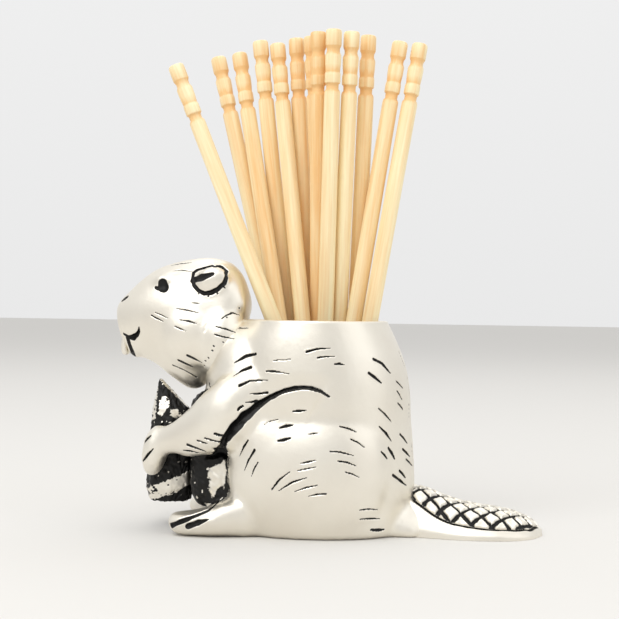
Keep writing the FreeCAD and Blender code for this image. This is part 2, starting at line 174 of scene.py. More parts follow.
# Ring in the plane of two directions, squarer as power grows past 2
def ovalRing(centre, sideways, upward, power=2.0, around=64):
    angle = np.linspace(0, 2 * math.pi, around, endpoint=False)
    c, s = np.cos(angle), np.sin(angle)
    c = np.sign(c) * np.abs(c) ** (2 / power)
    s = np.sign(s) * np.abs(s) ** (2 / power)
    return np.asarray(centre, float) + c[:, None] * np.asarray(sideways) + s[:, None] * np.asarray(upward)


def ellipsoidForm(centre, halfAxes, turn=None, power=2.0):
    rings = []
    for angle in np.linspace(-math.pi / 2 * 0.98, math.pi / 2 * 0.98, 25):
        height = math.copysign(abs(math.sin(angle)) ** (2 / power), angle)
        reach = math.cos(angle) ** (2 / power)
        ring = ovalRing((0, 0, height), (reach, 0, 0), (0, reach, 0), power, 40)
        rings.append(ring * np.asarray(halfAxes))
    points, faces = ringForm(rings)
    if turn is not None:
        points = points @ np.asarray(turn).T
    return points + np.asarray(centre, float), faces


def mirrored(form):
    points, faces = form
    return points * (1, -1, 1), [face[::-1] for face in faces]


def meshObject(name, points, faces):
    mesh = bpy.data.meshes.new(name)
    mesh.from_pydata([tuple(p) for p in points], [], [tuple(f) for f in faces])
    mesh.update()
    return linked(name, mesh)


def evaluatedMesh(source):
    graph = bpy.context.evaluated_depsgraph_get()
    return bpy.data.meshes.new_from_object(source.evaluated_get(graph), depsgraph=graph)


def meshArrays(mesh):
    points = np.empty(len(mesh.vertices) * 3)
    mesh.vertices.foreach_get("co", points)
    sizes = np.empty(len(mesh.polygons), int)
    mesh.polygons.foreach_get("loop_total", sizes)
    corners = np.empty(len(mesh.loops), int)
    mesh.loops.foreach_get("vertex_index", corners)
    assert (sizes == 4).all()
    return points.reshape(-1, 3), corners.reshape(-1, 4)


# Forms melted into one skin: remeshed, smoothed, cut level if asked, then divided finer
def meltedSkin(name, forms, voxel, smoothing, levels=2, cutHeight=None):
    points, faces = [], []
    for formPoints, formFaces in forms:
        shift = sum(len(p) for p in points)
        points.append(formPoints)
        faces += [tuple(v + shift for v in face) for face in formFaces]
    rough = meshObject(name, np.vstack(points), faces)
    remesh = rough.modifiers.new("melt", "REMESH")
    remesh.mode = "VOXEL"
    remesh.voxel_size = voxel
    soften = rough.modifiers.new("soften", "SMOOTH")
    soften.factor = 0.5
    soften.iterations = smoothing
    mesh = evaluatedMesh(rough)
    rough.modifiers.clear()
    if cutHeight is not None:
        work = bmesh.new()
        work.from_mesh(mesh)
        everything = work.verts[:] + work.edges[:] + work.faces[:]
        bmesh.ops.bisect_plane(work, geom=everything, plane_co=(0, 0, cutHeight),
                               plane_no=(0, 0, 1), clear_outer=True, dist=voxel * 0.2)
        work.to_mesh(mesh)
        work.free()
    rough.data = mesh
    divide = rough.modifiers.new("divide", "SUBSURF")
    divide.levels = levels
    divide.render_levels = levels
    fine = evaluatedMesh(rough)
    result = meshArrays(fine)
    bpy.data.objects.remove(rough)
    return result


# Faces between rings of points that follow each other
def ringQuads(rings):
    count, around = rings.shape[:2]
    index = np.arange(count * around).reshape(count, around)
    ahead = np.roll(index, -1, axis=1)
    return np.stack([index[:-1], index[1:], ahead[1:], ahead[:-1]], -1).reshape(-1, 4)


def skinEdges(faces):
    edges = np.vstack([faces[:, [0, 1]], faces[:, [1, 2]], faces[:, [2, 3]], faces[:, [3, 0]]])
    edges.sort(axis=1)
    keys, counts = np.unique(edges[:, 0].astype(np.int64) << 32 | edges[:, 1], return_counts=True)
    return np.stack([keys >> 32, keys & 0xFFFFFFFF], 1).astype(int), counts


def skinNormals(points, faces):
    across = np.cross(points[faces[:, 2]] - points[faces[:, 0]], points[faces[:, 3]] - points[faces[:, 1]])
    normals = np.zeros_like(points)
    for axis in range(3):
        for corner in range(4):
            normals[:, axis] += np.bincount(faces[:, corner], across[:, axis], len(points))
    return normals / np.maximum(np.linalg.norm(normals, axis=1), 1e-12)[:, None]


def averaged(values, edges, passes):
    total = np.bincount(edges.ravel(), minlength=len(values))
    for _ in range(passes):
        summed = (np.bincount(edges[:, 0], values[edges[:, 1]], len(values))
                  + np.bincount(edges[:, 1], values[edges[:, 0]], len(values)))
        values = 0.5 * values + 0.5 * summed / np.maximum(total, 1)
    return values


# How far each point stands out (above 0) or lies in a hollow (below 0), in millimetres
def relief(points, normals, edges, passes):
    level = np.stack([averaged(points[:, axis], edges, passes) for axis in range(3)], 1)
    return ((points - level) * normals).sum(1)


def treeOf(points, faces):
    return BVHTree.FromPolygons([tuple(p) for p in points], [tuple(f) for f in faces])


# Points of a line drawn over the photograph, laid on a skin
def laidLine(tree, pixels, spacing=0.3):
    line = []
    for (ax, ay), (bx, by) in zip(pixels, pixels[1:]):
        count = max(1, int(math.hypot(bx - ax, by - ay) / photo["pixelsPerMm"] / spacing))
        for step in range(count):
            line.append((ax + (bx - ax) * step / count, ay + (by - ay) * step / count))
    line.append(pixels[-1])
    laid = []
    for px, py in line:
        hit = tree.ray_cast(eyePoint, pixelRay(px, py))[0]
        if hit is not None:
            laid.append(hit)
    return np.array(laid).reshape(-1, 3)


# The same line on the other flank
def mirroredLine(tree, line):
    return np.array([tree.find_nearest(Vector(p * (1, -1, 1)))[0] for p in line]).reshape(-1, 3)


# Distance of points to a line, how far along it they are (0 to 1), and which side they are on
def lineDistance(points, normals, line):
    best = np.full(len(points), 1e9)
    along = np.zeros(len(points))
    side = np.zeros(len(points))
    steps = np.linalg.norm(line[1:] - line[:-1], axis=1)
    total = max(steps.sum(), 1e-9)
    run = 0.0
    for a, b, step in zip(line[:-1], line[1:], steps):
        if step < 1e-9:
            continue
        direction = (b - a) / step
        offset = points - a
        place = np.clip(offset @ direction, 0, step)
        away = offset - place[:, None] * direction
        distance = np.linalg.norm(away, axis=1)
        nearer = distance < best
        best[nearer] = distance[nearer]
        along[nearer] = ((run + place) / total)[nearer]
        side[nearer] = (np.cross(np.broadcast_to(direction, away.shape), away) * normals).sum(1)[nearer]
        run += step
    return best, along, side


# How a tool mark wavers in width, where its lip stands and where its patina ends, in shares of its width
toolMark = {
    "waver": 0.13,
    "waverMm": 1.7,
    "waverSeed": 21,
    "lipPlace": 1.35,
    "lipWidth": 0.3,
    "patinaFull": 0.72,
    "patinaEnd": 1.05,
}


# Cuts one tool mark into a skin: width at its start, middle and end, in millimetres
def engrave(skin, line, widths, depth, dark=1.0, lip=0.12):
    if len(line) < 2:
        return
    reach = max(widths) * 2.2
    low, high = line.min(0) - reach, line.max(0) + reach
    near = np.flatnonzero(((skin["points"] > low) & (skin["points"] < high)).all(1))
    if not len(near):
        return
    normals = skin["normals"][near]
    distance, along, side = lineDistance(skin["points"][near], normals, line)
    waver = toolMark["waver"] * unevenness(skin["points"][near], toolMark["waverMm"], toolMark["waverSeed"])
    width = np.interp(along, (0, 0.5, 1), widths) * (1 + waver) + 1e-6
    share = distance / width
    bowl = np.clip(1 - share**2, 0, 1) ** 1.5
    edge = np.exp(-((share - toolMark["lipPlace"]) / toolMark["lipWidth"]) ** 2) * (share > 0.9)
    narrow = width / max(widths)
    skin["shift"][near] = np.minimum(skin["shift"][near], -depth * bowl * narrow)
    skin["lift"][near] = np.maximum(skin["lift"][near], depth * lip * edge * narrow)
    black = dark * smoothStep(toolMark["patinaEnd"], toolMark["patinaFull"], share)
    skin["patina"][near] = np.maximum(skin["patina"][near], black)


# The same mark on both flanks
def engraveBoth(skin, line, *mark, **more):
    engrave(skin, line, *mark, **more)
    engrave(skin, mirroredLine(skin["tree"], line), *mark, **more)


def newSkin(points, faces):
    edges, counts = skinEdges(faces)
    zero = np.zeros(len(points))
    return {"points": points, "faces": faces, "edges": edges, "edgeUse": counts,
            "normals": skinNormals(points, faces), "tree": treeOf(points, faces),
            "shift": zero.copy(), "lift": zero.copy(), "patina": zero.copy(), "polishAndHighlight": zero.copy()}


# Moves the skin by its marks, and leaves patina where it lies low
def settle(skin, recess=0.0, passes=12):
    move = skin["shift"] + skin["lift"] * (skin["shift"] > -0.02)
    skin["points"] = skin["points"] + skin["normals"] * move[:, None]
    skin["normals"] = skinNormals(skin["points"], skin["faces"])
    if recess:
        low = -relief(skin["points"], skin["normals"], skin["edges"], passes)
        skin["patina"] = np.maximum(skin["patina"], smoothStep(recess * 0.4, recess, low))
    skin["patina"] = np.clip(skin["patina"] * (1 - skin["polishAndHighlight"]), 0, 1)
    return skin


def keptPart(skin, keep):
    faces = skin["faces"][keep]
    used, back = np.unique(faces, return_inverse=True)
    return skin["points"][used], back.reshape(faces.shape), skin["normals"][used], skin["patina"][used]


def wholePart(skin):
    return keptPart(skin, np.ones(len(skin["faces"]), bool))


def setField(mesh, name, values):
    kind, slot = ("FLOAT", "value") if values.ndim == 1 else ("FLOAT_VECTOR", "vector")
    mesh.attributes.new(name, kind, "POINT").data.foreach_set(slot, values.astype(np.float32).ravel())


def skinPiece(name, points, faces, normals, patina, material, nodes):
    mesh = bpy.data.meshes.new(name)
    mesh.vertices.add(len(points))
    mesh.vertices.foreach_set("co", (points * mm).astype(np.float32).ravel())
    mesh.loops.add(faces.size)
    mesh.loops.foreach_set("vertex_index", faces.astype(np.int32).ravel())
    mesh.polygons.add(len(faces))
    mesh.polygons.foreach_set("loop_start", np.arange(0, faces.size, 4, dtype=np.int32))
    mesh.update(calc_edges=True)
    mesh.validate()
    mesh.polygons.foreach_set("use_smooth", np.ones(len(faces), bool))
    mesh.normals_split_custom_set_from_vertices([tuple(n) for n in normals])
    setField(mesh, "patina", patina)
    mesh.materials.append(material)
    made = linked(name, mesh)
    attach(made, "figure")
    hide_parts(*nodes)
    return made


def colour(code):
    channels = [int(code[i:i + 2], 16) / 255 for i in (1, 3, 5)]
    return [c / 12.92 if c <= 0.04045 else ((c + 0.055) / 1.055) ** 2.4 for c in channels] + [1.0]


# A node with its settings, values and links: a socket is linked, anything else is set
def addNode(tree, kind, given=()):
    node = tree.nodes.new(kind)
    for name, value in dict(given).items():
        if isinstance(value, bpy.types.NodeSocket):
            tree.links.new(value, node.inputs[name])
        elif isinstance(name, int) or name in node.inputs:
            node.inputs[name].default_value = value
        else:
            setattr(node, name, value)
    return node


def maths(tree, operation, *values, clamp=False):
    return addNode(tree, "ShaderNodeMath",
                   {"operation": operation, "use_clamp": clamp, **dict(enumerate(values))}).outputs[0]


# Value from low..high carried over to start..end
def ramp(tree, value, low=0.0, high=1.0, start=0.0, end=1.0, curve="LINEAR"):
    return addNode(tree, "ShaderNodeMapRange", {
        "interpolation_type": curve, "Value": value, "From Min": low, "From Max": high,
        "To Min": start, "To Max": end}).outputs["Result"]


def blend(tree, share, low, high):
    return addNode(tree, "ShaderNodeMix", {"data_type": "RGBA", 0: share, 6: low, 7: high}).outputs[2]


def noise(tree, place, size, detail):
    return addNode(tree, "ShaderNodeTexNoise", {"Vector": place, "Scale": 1 / size, "Detail": detail}).outputs["Fac"]


def bump(tree, height, look):
    return addNode(tree, "ShaderNodeBump", {"Height": height, "Strength": look["bumpStrength"],
                                            "Distance": look["bumpMm"] * mm}).outputs["Normal"]


def newMaterial(name):
    material = bpy.data.materials.new(name)
    material.use_nodes = True
    material.node_tree.nodes.clear()
    return material, material.node_tree


def finishMaterial(tree, given):
    surface = addNode(tree, "ShaderNodeBsdfPrincipled", given)
    addNode(tree, "ShaderNodeOutputMaterial", {"Surface": surface.outputs[0]})


# Cast pewter: tin alloy, polished on a buffing wheel, with black patina left in the hollows; the same black also
# paints shade in the hollows of belly, chest and arm pits
pewterLook = {
    "bright": "#F8F4E9",
    "dull": "#E6DFD2",
    "patina": "#0B0A08",
    "grainMm": 0.9,
    "cloudMm": 7.0,
    "brightRoughness": 0.40,
    "patinaRoughness": 0.5,
    "patinaMetallic": 0.35,
    # how much the grain breaks the patina's edge, and the marks between which metal turns to patina
    "grainBite": 0.35,
    "metalBelow": 0.28,
    "patinaAbove": 0.62,
    "cloudHeight": 0.4,
    "bumpStrength": 0.10,
    "bumpMm": 0.25,
}


def pewterMaterial():
    look = pewterLook
    material, tree = newMaterial("buffedPewter")
    place = addNode(tree, "ShaderNodeTexCoord").outputs["Object"]
    cloud = noise(tree, place, look["cloudMm"] * mm, 3.0)
    grain = noise(tree, place, look["grainMm"] * mm, 5.0)
    # the patina field also holds painted shade in the hollows of belly, chest and arm pits
    mark = addNode(tree, "ShaderNodeAttribute", {"attribute_name": "patina"}).outputs["Fac"]
    broken = maths(tree, "MULTIPLY_ADD", grain, look["grainBite"], -look["grainBite"] / 2)
    dark = maths(tree, "ADD", mark, broken, clamp=True)
    edge = ramp(tree, dark, look["metalBelow"], look["patinaAbove"], curve="SMOOTHSTEP")
    metal = blend(tree, cloud, colour(look["dull"]), colour(look["bright"]))
    finishMaterial(tree, {
        "Base Color": blend(tree, edge, metal, colour(look["patina"])),
        "Roughness": ramp(tree, edge, start=look["brightRoughness"], end=look["patinaRoughness"]),
        "Metallic": ramp(tree, edge, start=1.0, end=look["patinaMetallic"]),
        "Normal": bump(tree, maths(tree, "MULTIPLY_ADD", cloud, look["cloudHeight"], grain), look)})
    return material


# Birch: pale wood with fine lengthwise grain, turned and left bare
birchLook = {
    "light": "#FCF1C8",
    "deep": "#EDC083",
    "fibreMm": 0.22,
    "streakMm": 0.9,
    # how much longer than wide the grain is drawn, and how much its fibres and streaks tint the wood
    "lengthwise": 0.045,
    "fibreShare": 0.45,
    "tintFrom": 0.50,
    "tintTo": 1.15,
    "roughness": 0.55,
    "bumpStrength": 0.15,
    "bumpMm": 0.06,
}


def birchMaterial():
    look = birchLook
    material, tree = newMaterial("turnedBirch")
    along, tint = (addNode(tree, "ShaderNodeAttribute", {"attribute_name": name}) for name in ("turned", "tint"))
    stretched = addNode(tree, "ShaderNodeVectorMath", {
        "operation": "MULTIPLY", 0: along.outputs["Vector"], 1: (1, 1, look["lengthwise"])}).outputs[0]
    fibre = noise(tree, stretched, look["fibreMm"], 4.0)
    streak = noise(tree, stretched, look["streakMm"], 2.0)
    both = maths(tree, "MULTIPLY_ADD", fibre, look["fibreShare"], streak)
    warm = maths(tree, "ADD", ramp(tree, both, look["tintFrom"], look["tintTo"]), tint.outputs["Fac"], clamp=True)
    finishMaterial(tree, {
        "Base Color": blend(tree, warm, colour(look["light"]), colour(look["deep"])),
        "Roughness": look["roughness"], "IOR": 1.5, "Normal": bump(tree, fibre, look)})
    return material


pewter = pewterMaterial()
birch = birchMaterial()
print("finishes made")

cup = {
    "reach": 8.35,
    "spread": 9.51,
    "wall": 0.8,
    "rimHeight": 27.6,
    "floor": 1.2,
    "draft": 0.4,
    "corner": 0.8,
}
bodyShape = {
    "backSwell": 4.2,
    "frontSwell": 3.8,
    "sideSwell": 0.9,
    "power": 2.15,
    "voxel": 0.45,
    "smoothing": 9,
    # share of the height, then shares of the back, front and side swells
    "levels": ((0.0, 0.72, 0.68, 0.25), (0.18, 0.93, 0.87, 0.64), (0.36, 0.90, 0.92, 0.90),
               (0.54, 0.80, 0.88, 1.00), (0.69, 0.74, 0.80, 0.96), (0.82, 0.55, 0.66, 0.72),
               (0.91, 0.30, 0.40, 0.44), (0.965, 0.13, 0.16, 0.18), (1.0, 0.0, 0.0, 0.0),
               (1.15, 0.0, 0.0, 0.0)),
}
rimReach = cup["reach"] + cup["wall"]
rimSpread = cup["spread"] + cup["wall"]


def barrelForm():
    shape = bodyShape
    rings = []
    for share in np.concatenate([[0.0, 0.006], np.linspace(0.03, 1.12, 40)]):
        back, front, side = station(shape["levels"], share)
        back = rimReach + back * shape["backSwell"]
        front = rimReach + front * shape["frontSwell"]
        side = rimSpread + side * shape["sideSwell"]
        inset = 0.5 if share == 0 else 0
        rings.append(ovalRing(
            ((back - front) / 2, 0, share * cup["rimHeight"]),
            ((back + front) / 2 - inset, 0, 0), (0, side - inset, 0), shape["power"], 96))
    return ringForm(rings)


limbShape = {
    "haunch": ((-0.3, -5.7, 8.4), (10.6, 6.6, 10.7)),
    "haunchPower": 2.25,
    "tailRoot": ((11.2, 0, 0.0), (5.8, 6.3, 5.2)),
    "shoulder": ((-8.0, 0, 20.7), (6.9, 9.0, 7.4)),
    "belly": ((-9.0, 0, 9.7), (7.2, 6.0, 7.0)),
    "bellyPower": 6.0,
    "chest": ((-13.2, 0, 15.8), (3.6, 5.0, 2.5)),
    "nape": ((-11.4, 0, 24.2), (4.0, 6.3, 3.7)),
    # x, then bottom, top, spread and half width of the foot
    "foot": ((-18.2, 1.5, 2.1, 8.0, 0.8), (-17.9, 0.9, 2.55, 8.0, 1.5), (-17.2, 0.2, 2.85, 8.0, 2.2),
             (-16.0, 0.0, 3.0, 8.0, 2.7), (-14.0, 0.0, 3.35, 8.1, 3.0), (-12.2, 0.0, 4.0, 8.2, 3.1),
             (-10.0, 0.0, 4.8, 8.0, 2.9), (-7.0, 0.0, 4.8, 7.6, 2.2), (-5.0, 1.0, 4.0, 7.4, 1.0)),
    "paw": ((-20.75, -4.35, 10.25), (1.75, 1.8, 3.55)),
    "pawLean": 9.0,
    # x, then height, spread, half width and half height of the arm
    "arm": ((-3.5, 17.4, 6.8, 1.6, 4.2), (-7.9, 16.4, 8.25, 2.4, 4.9), (-10.9, 15.5, 8.5, 2.8, 4.9),
            (-13.55, 14.3, 8.0, 2.6, 4.15), (-15.95, 12.9, 6.9, 2.2, 3.1), (-18.2, 12.1, 5.7, 1.8, 2.05),
            (-20.2, 11.3, 4.6, 1.5, 1.9)),
}


# Limb that runs along x, ringed by what ringAt makes of each station
def limbForm(stations, count, ringAt):
    return ringForm([ringAt(x, *station(stations, x)) for x in np.linspace(stations[0][0], stations[-1][0], count)])


def armForm():
    return limbForm(limbShape["arm"][::-1], 26, lambda x, height, spread, wide, tall: ovalRing(
        (x, -spread, height), (0, wide, 0), (0, 0, tall), 2.2, 40))


def footForm():
    return limbForm(limbShape["foot"], 40, lambda x, bottom, top, spread, wide: ovalRing(
        (x, -spread, (bottom + top) / 2), (0, wide, 0), (0, 0, (top - bottom) / 2), 2.6, 36))


def onGround(form):
    points, faces = form
    return np.column_stack([points[:, :2], np.maximum(points[:, 2], 0)]), faces


def bodySkin():
    haunch = onGround(ellipsoidForm(*limbShape["haunch"], power=limbShape["haunchPower"]))
    paw = ellipsoidForm(*limbShape["paw"], Matrix.Rotation(math.radians(limbShape["pawLean"]), 3, "Y"))
    belly = ellipsoidForm(*limbShape["belly"], power=limbShape["bellyPower"])
    root = ellipsoidForm(*limbShape["tailRoot"])
    forms = [barrelForm(), onGround(belly), onGround(root)]
    forms += [ellipsoidForm(*limbShape[part]) for part in ("shoulder", "nape", "chest")]
    for form in (haunch, footForm(), paw, armForm()):
        forms += [form, mirrored(form)]
    points, faces = meltedSkin("bodySkin", forms, bodyShape["voxel"], bodyShape["smoothing"], 2,
                               cup["rimHeight"] - 0.35)
    points[:, 2] = np.maximum(points[:, 2], 0)
    return newSkin(points, faces)


body = bodySkin()
print("body melted", len(body["faces"]))

# Marks cut over the near flank: pixels of a line's points, then its three widths in millimetres, from start to end
bodyMarks = (
    # neck and shoulder
    (215.8, 326.6, 226, 329, 235.6, 332.5, 0.06, 0.13, 0.05),
    (233.6, 326.1, 240, 328, 248.5, 327.9, 0.2, 0.16, 0.05),
    (214.8, 334.5, 223, 336.8, 234.6, 338.8, 0.12, 0.1, 0.04),
    (255.6, 354, 246, 356, 234.1, 363, 0.24, 0.24, 0.05),
    (250.6, 367.4, 242, 370.5, 233.5, 375.8, 0.22, 0.2, 0.06),
    (239.6, 385.6, 250, 380.8, 268, 380, 0.2, 0.16, 0.04),
    (267, 392.6, 258, 393.6, 250, 393.6, 0.16, 0.14, 0.05),
    (257, 401, 251, 402.4, 245.3, 402, 0.16, 0.14, 0.06),
    (243, 406.2, 240, 407.6, 238.2, 410, 0.18, 0.2, 0.18),
    (273.2, 360.4, 282, 360, 290.5, 359.3, 0.05, 0.11, 0.04),
    (266.4, 371, 276, 371.6, 289, 373.6, 0.15, 0.12, 0.04),
    (306.5, 351.8, 317, 349, 330.5, 348.2, 0.18, 0.13, 0.04),
    (318, 357.6, 326, 356.6, 334.5, 356.4, 0.14, 0.11, 0.05),
    (334.8, 364, 339.5, 363.6, 344.3, 364.9, 0.1, 0.15, 0.06),
    # upper arm and forearm
    (223.4, 435.6, 219, 435.2, 214.6, 433.8, 0.16, 0.2, 0.2),
    (219, 442, 212, 440.4, 204.6, 438.2, 0.14, 0.15, 0.1),
    (207, 443.6, 202, 442.2, 197, 440.4, 0.08, 0.12, 0.1),
    (187.2, 444.8, 196, 448, 205.8, 451.6, 0.18, 0.16, 0.08),
    (183.2, 450.4, 191, 451.2, 199.6, 453.4, 0.1, 0.14, 0.1),
    # thigh
    (248.6, 440.4, 243.6, 447, 239.4, 456, 0.14, 0.12, 0.04),
    (254.4, 450.4, 248.6, 459.5, 244.6, 470, 0.2, 0.15, 0.04),
    (257.8, 462.2, 254, 468.6, 251.4, 476, 0.1, 0.11, 0.04),
    (264.2, 425.6, 271, 421.4, 279, 419.4, 0.05, 0.08, 0.05),
    (280, 428, 286, 426.2, 292.7, 425.2, 0.14, 0.26, 0.12),
    (278, 441, 284, 440, 290, 438.2, 0.14, 0.24, 0.14),
    (293, 411.4, 299.5, 410.8, 306, 410.2, 0.1, 0.24, 0.08),
    (308, 434.4, 313, 433.6, 318, 433, 0.03, 0.09, 0.05),
    (300.2, 463.6, 307, 462.2, 315.6, 460.3, 0.07, 0.12, 0.05),
    (298, 470.6, 306, 469, 315.8, 467.2, 0.08, 0.11, 0.04),
    (289.6, 472, 279, 480, 271.8, 489.4, 0.06, 0.15, 0.1),
    (306.4, 477.8, 292, 482.4, 278.4, 491, 0.05, 0.17, 0.05),
    (317.2, 485.4, 306, 487.8, 294.6, 491.6, 0.06, 0.13, 0.05),
    (308.4, 496.4, 317, 494.6, 326.5, 494, 0.05, 0.13, 0.07),
    # flank
    (339.8, 426.4, 349, 428.6, 357, 432.4, 0.1, 0.12, 0.05),
    (350.6, 439, 358, 442.4, 365, 447.8, 0.1, 0.11, 0.05),
    (329.8, 451.4, 341, 452.2, 353.4, 455.6, 0.06, 0.12, 0.05),
    (338, 461, 347, 462.4, 355.8, 465.8, 0.12, 0.12, 0.05),
    (345.4, 472.2, 352, 474, 359.4, 477.4, 0.08, 0.12, 0.04),
    (360, 510.2, 369, 509.2, 377.6, 509.8, 0.08, 0.11, 0.06),
    (360.4, 519.4, 370, 518.8, 379.6, 518.8, 0.1, 0.12, 0.05),
    (371, 529.8, 377, 530.2, 383.6, 529.6, 0.14, 0.26, 0.14),
    # rear flank
    (373.6, 359, 382, 363.4, 390.6, 373.4, 0.2, 0.24, 0.08),
    (369, 373, 375, 377.4, 381.4, 383, 0.2, 0.2, 0.1),
    (378.6, 408.4, 385, 414, 391.4, 421.6, 0.1, 0.13, 0.06),
    (379.4, 426.6, 386, 433, 391.4, 441.2, 0.12, 0.18, 0.06),
    (381.4, 451.8, 384.4, 454.8, 387.2, 458.6, 0.14, 0.2, 0.12),
    (388.6, 448.2, 391.8, 452.8, 394.6, 458.6, 0.18, 0.24, 0.14),
    (393, 475.2, 399, 479.6, 406.2, 485.4, 0.2, 0.22, 0.08),
    (399.6, 470.8, 402.4, 473.6, 405.4, 477.6, 0.18, 0.2, 0.12),
    (396.4, 381, 399.4, 384.2, 402.8, 388, 0.12, 0.14, 0.08),
    (397.2, 391, 399.6, 394.6, 402, 399.5, 0.12, 0.15, 0.08),
    (398, 403.2, 400.4, 405.8, 403, 409.4, 0.12, 0.14, 0.1),
    (400.3, 434.3, 404, 438.4, 407.4, 443.4, 0.2, 0.2, 0.08),
    (402.8, 449.2, 406.4, 452.6, 410, 456.7, 0.2, 0.2, 0.08),
    (406, 459.2, 409, 462, 412.4, 465.8, 0.12, 0.16, 0.06),
)


def markPixels(row):
    return tuple(zip(row[:-3:2], row[1:-3:2]))


# The thigh's edge, from the back of the hip round to the forearm, then down the front of the thigh
creaseLine = ((329.0, 396.6), (321.0, 391.4), (312.0, 388.6), (303.4, 387.8), (294.0, 388.6),
              (284.0, 391.2), (270.6, 397.4), (257.0, 406.6), (243.8, 417.4), (233.8, 428.0), (227.0, 438.0))
creaseWidths = (0.16, 0.46, 0.72)
# Fingers on the paw, and the grooves between the toes
fingerMarks = (
    (150.6, 435.8, 146, 440, 141.6, 446.4, 0.14, 0.26, 0.24),
    (153.2, 448.8, 148, 454.4, 142.8, 461.2, 0.1, 0.2, 0.12),
)
toeMarks = (
    (171, 525.6, 188, 518.6, 207.6, 510.6, 224, 498, 0.4, 0.34, 0.16),
    (187.6, 526.6, 196, 523.6, 208.6, 519.4, 0.4, 0.46, 0.08),
)
# Black of patina and painted shade in the hollow between belly, forearm, thigh and feet, and the belly's front in it,
# where that black is thinned
bellyPool = ((190, 440), (205, 446), (226, 436), (229, 452), (228.5, 474), (230, 492), (212, 508), (196, 514),
             (176, 520), (176, 500), (190, 480))
bellyThinned = ((208, 467), (214, 465), (224, 461), (226.4, 470), (226, 485), (220, 492), (212, 497), (208.6, 486))
# The hollow between forearm and thigh, where the crease ends: painted black as patina and shade, and pressed in
armPit = ((206, 458), (212, 453.5), (217.5, 447), (222.5, 438.6), (229, 430.6), (236, 423.6),
          (242, 419.6), (244, 422), (236.5, 431), (230.6, 437), (227.2, 445), (226.6, 458))
# Black of patina and painted shade between the arms, from the chin down: half its width, its back and front x, and
# its top
chestPool = (4.9, -10.8, -17.4, 18.5)


markDepth = {"stroke": 0.22, "finger": 0.35, "crease": 0.5}
# Hair down the spine, which the photograph doesn't show
spineHair = {
    "seed": 12,
    "heights": (10.0, 25.5, 1.7),
    "spread": 2.6,
    "slope": 0.5,
    "length": (1.2, 2.4),
    "widths": (0.16, 0.15, 0.05),
}


def engraveBody(skin):
    tree = skin["tree"]
    for row, depth in ([(row, markDepth["stroke"]) for row in bodyMarks]
                       + [(row, markDepth["finger"]) for row in fingerMarks + toeMarks]):
        line = laidLine(tree, markPixels(row))
        if len(line) > 1:
            engraveBoth(skin, line, row[-3:], depth)
    crease = laidLine(tree, creaseLine)
    for line, sign in ((crease, 1), (mirroredLine(tree, crease), -1)):
        swellThigh(skin, line, sign)
        engrave(skin, line, creaseWidths, markDepth["crease"], lip=0.0)
    hair = spineHair
    seeded = np.random.default_rng(hair["seed"])
    for height in np.arange(*hair["heights"]):
        spread = seeded.uniform(-hair["spread"], hair["spread"])
        slope = seeded.uniform(-hair["slope"], hair["slope"])
        length = seeded.uniform(*hair["length"])
        starts = [Vector((25, spread + slope * t, height - length * t)) for t in (0, 0.5, 1)]
        line = np.array([tree.ray_cast(start, Vector((-1, 0, 0)))[0] for start in starts])
        engrave(skin, line, hair["widths"], markDepth["stroke"])
    blackenBelly(skin)


# How far inside the black between the arms each point lies
def chestDepth(points):
    wide, back, front, top = chestPool
    return np.min((wide - np.abs(points[:, 1]), back - points[:, 0], points[:, 0] - front, top - points[:, 2]), 0)


# Where the belly's patina and painted shade end at the thigh: x, then spread
poolSide = ((-16, -12.5, -10), (7.0, 7.6, 8.5))
# The foot's top stays bright: height, spread and x that bound it
brightFoot = (3.7, 5.2, -12.6)
pitDepth = 0.7
poolEdge = ((1.1, 3, 1.2), (0.35, 4, 0.7))
flecks = {"from": 1.25, "full": 1.6, "lengthMm": 0.8, "seed": 14, "share": 0.85}
bellyGrain = {"height": 0.07, "lengthMm": 0.9, "seed": 15}


# Pools of patina and painted shade, drawn on the near side and the same on the far side
def blackenBelly(skin):
    points = skin["points"]
    pixels = pixelsOf(np.column_stack([points[:, 0], -np.abs(points[:, 1]), points[:, 2]]))
    forward = np.abs(points[:, 1]) < np.interp(points[:, 0], *poolSide)
    rough = roughEdge(points, poolEdge)
    height, spread, x = brightFoot
    offFoot = ~((points[:, 2] < height) & (np.abs(points[:, 1]) > spread) & (points[:, 0] < x))
    pool = smoothStep(-1.2, 1.6, depthInside(pixels, bellyPool) + rough) * forward * offFoot
    rough += unevenness(points * (1, 1, 0.2), 0.9, 5) * 1.6
    thinned = smoothStep(-2.5, 3.5, depthInside(pixels, bellyThinned) + rough) * forward
    # painted shade and patina between the arms
    pool = np.maximum(pool, smoothStep(-0.7, 0.7, chestDepth(points) + rough * 0.25) * offFoot)
    spots = smoothStep(flecks["from"], flecks["full"], unevenness(points, flecks["lengthMm"], flecks["seed"]))
    pool *= 1 - flecks["share"] * spots * smoothStep(-12, -14, points[:, 0])
    skin["lift"] += bellyGrain["height"] * unevenness(points, bellyGrain["lengthMm"], bellyGrain["seed"]) * pool
    inPit = depthInside(pixels, armPit) + rough * 0.5
    # the pools' black is painted shade as well as patina, and goes into the patina field
    skin["patina"] = np.maximum(skin["patina"], pool * (1 - 0.8 * thinned))
    # painted shade and patina in the hollow by the arm
    skin["patina"] = np.maximum(skin["patina"], smoothStep(-1.0, 1.0, inPit))
    skin["shift"] = np.minimum(skin["shift"], -pitDepth * smoothStep(-1.5, 3.5, inPit))


# Height and reach of the thigh's swelling inside its edge, and of the flank's fall outside it
thighRise = (0.45, 5.0)
flankFall = (0.22, 2.2)


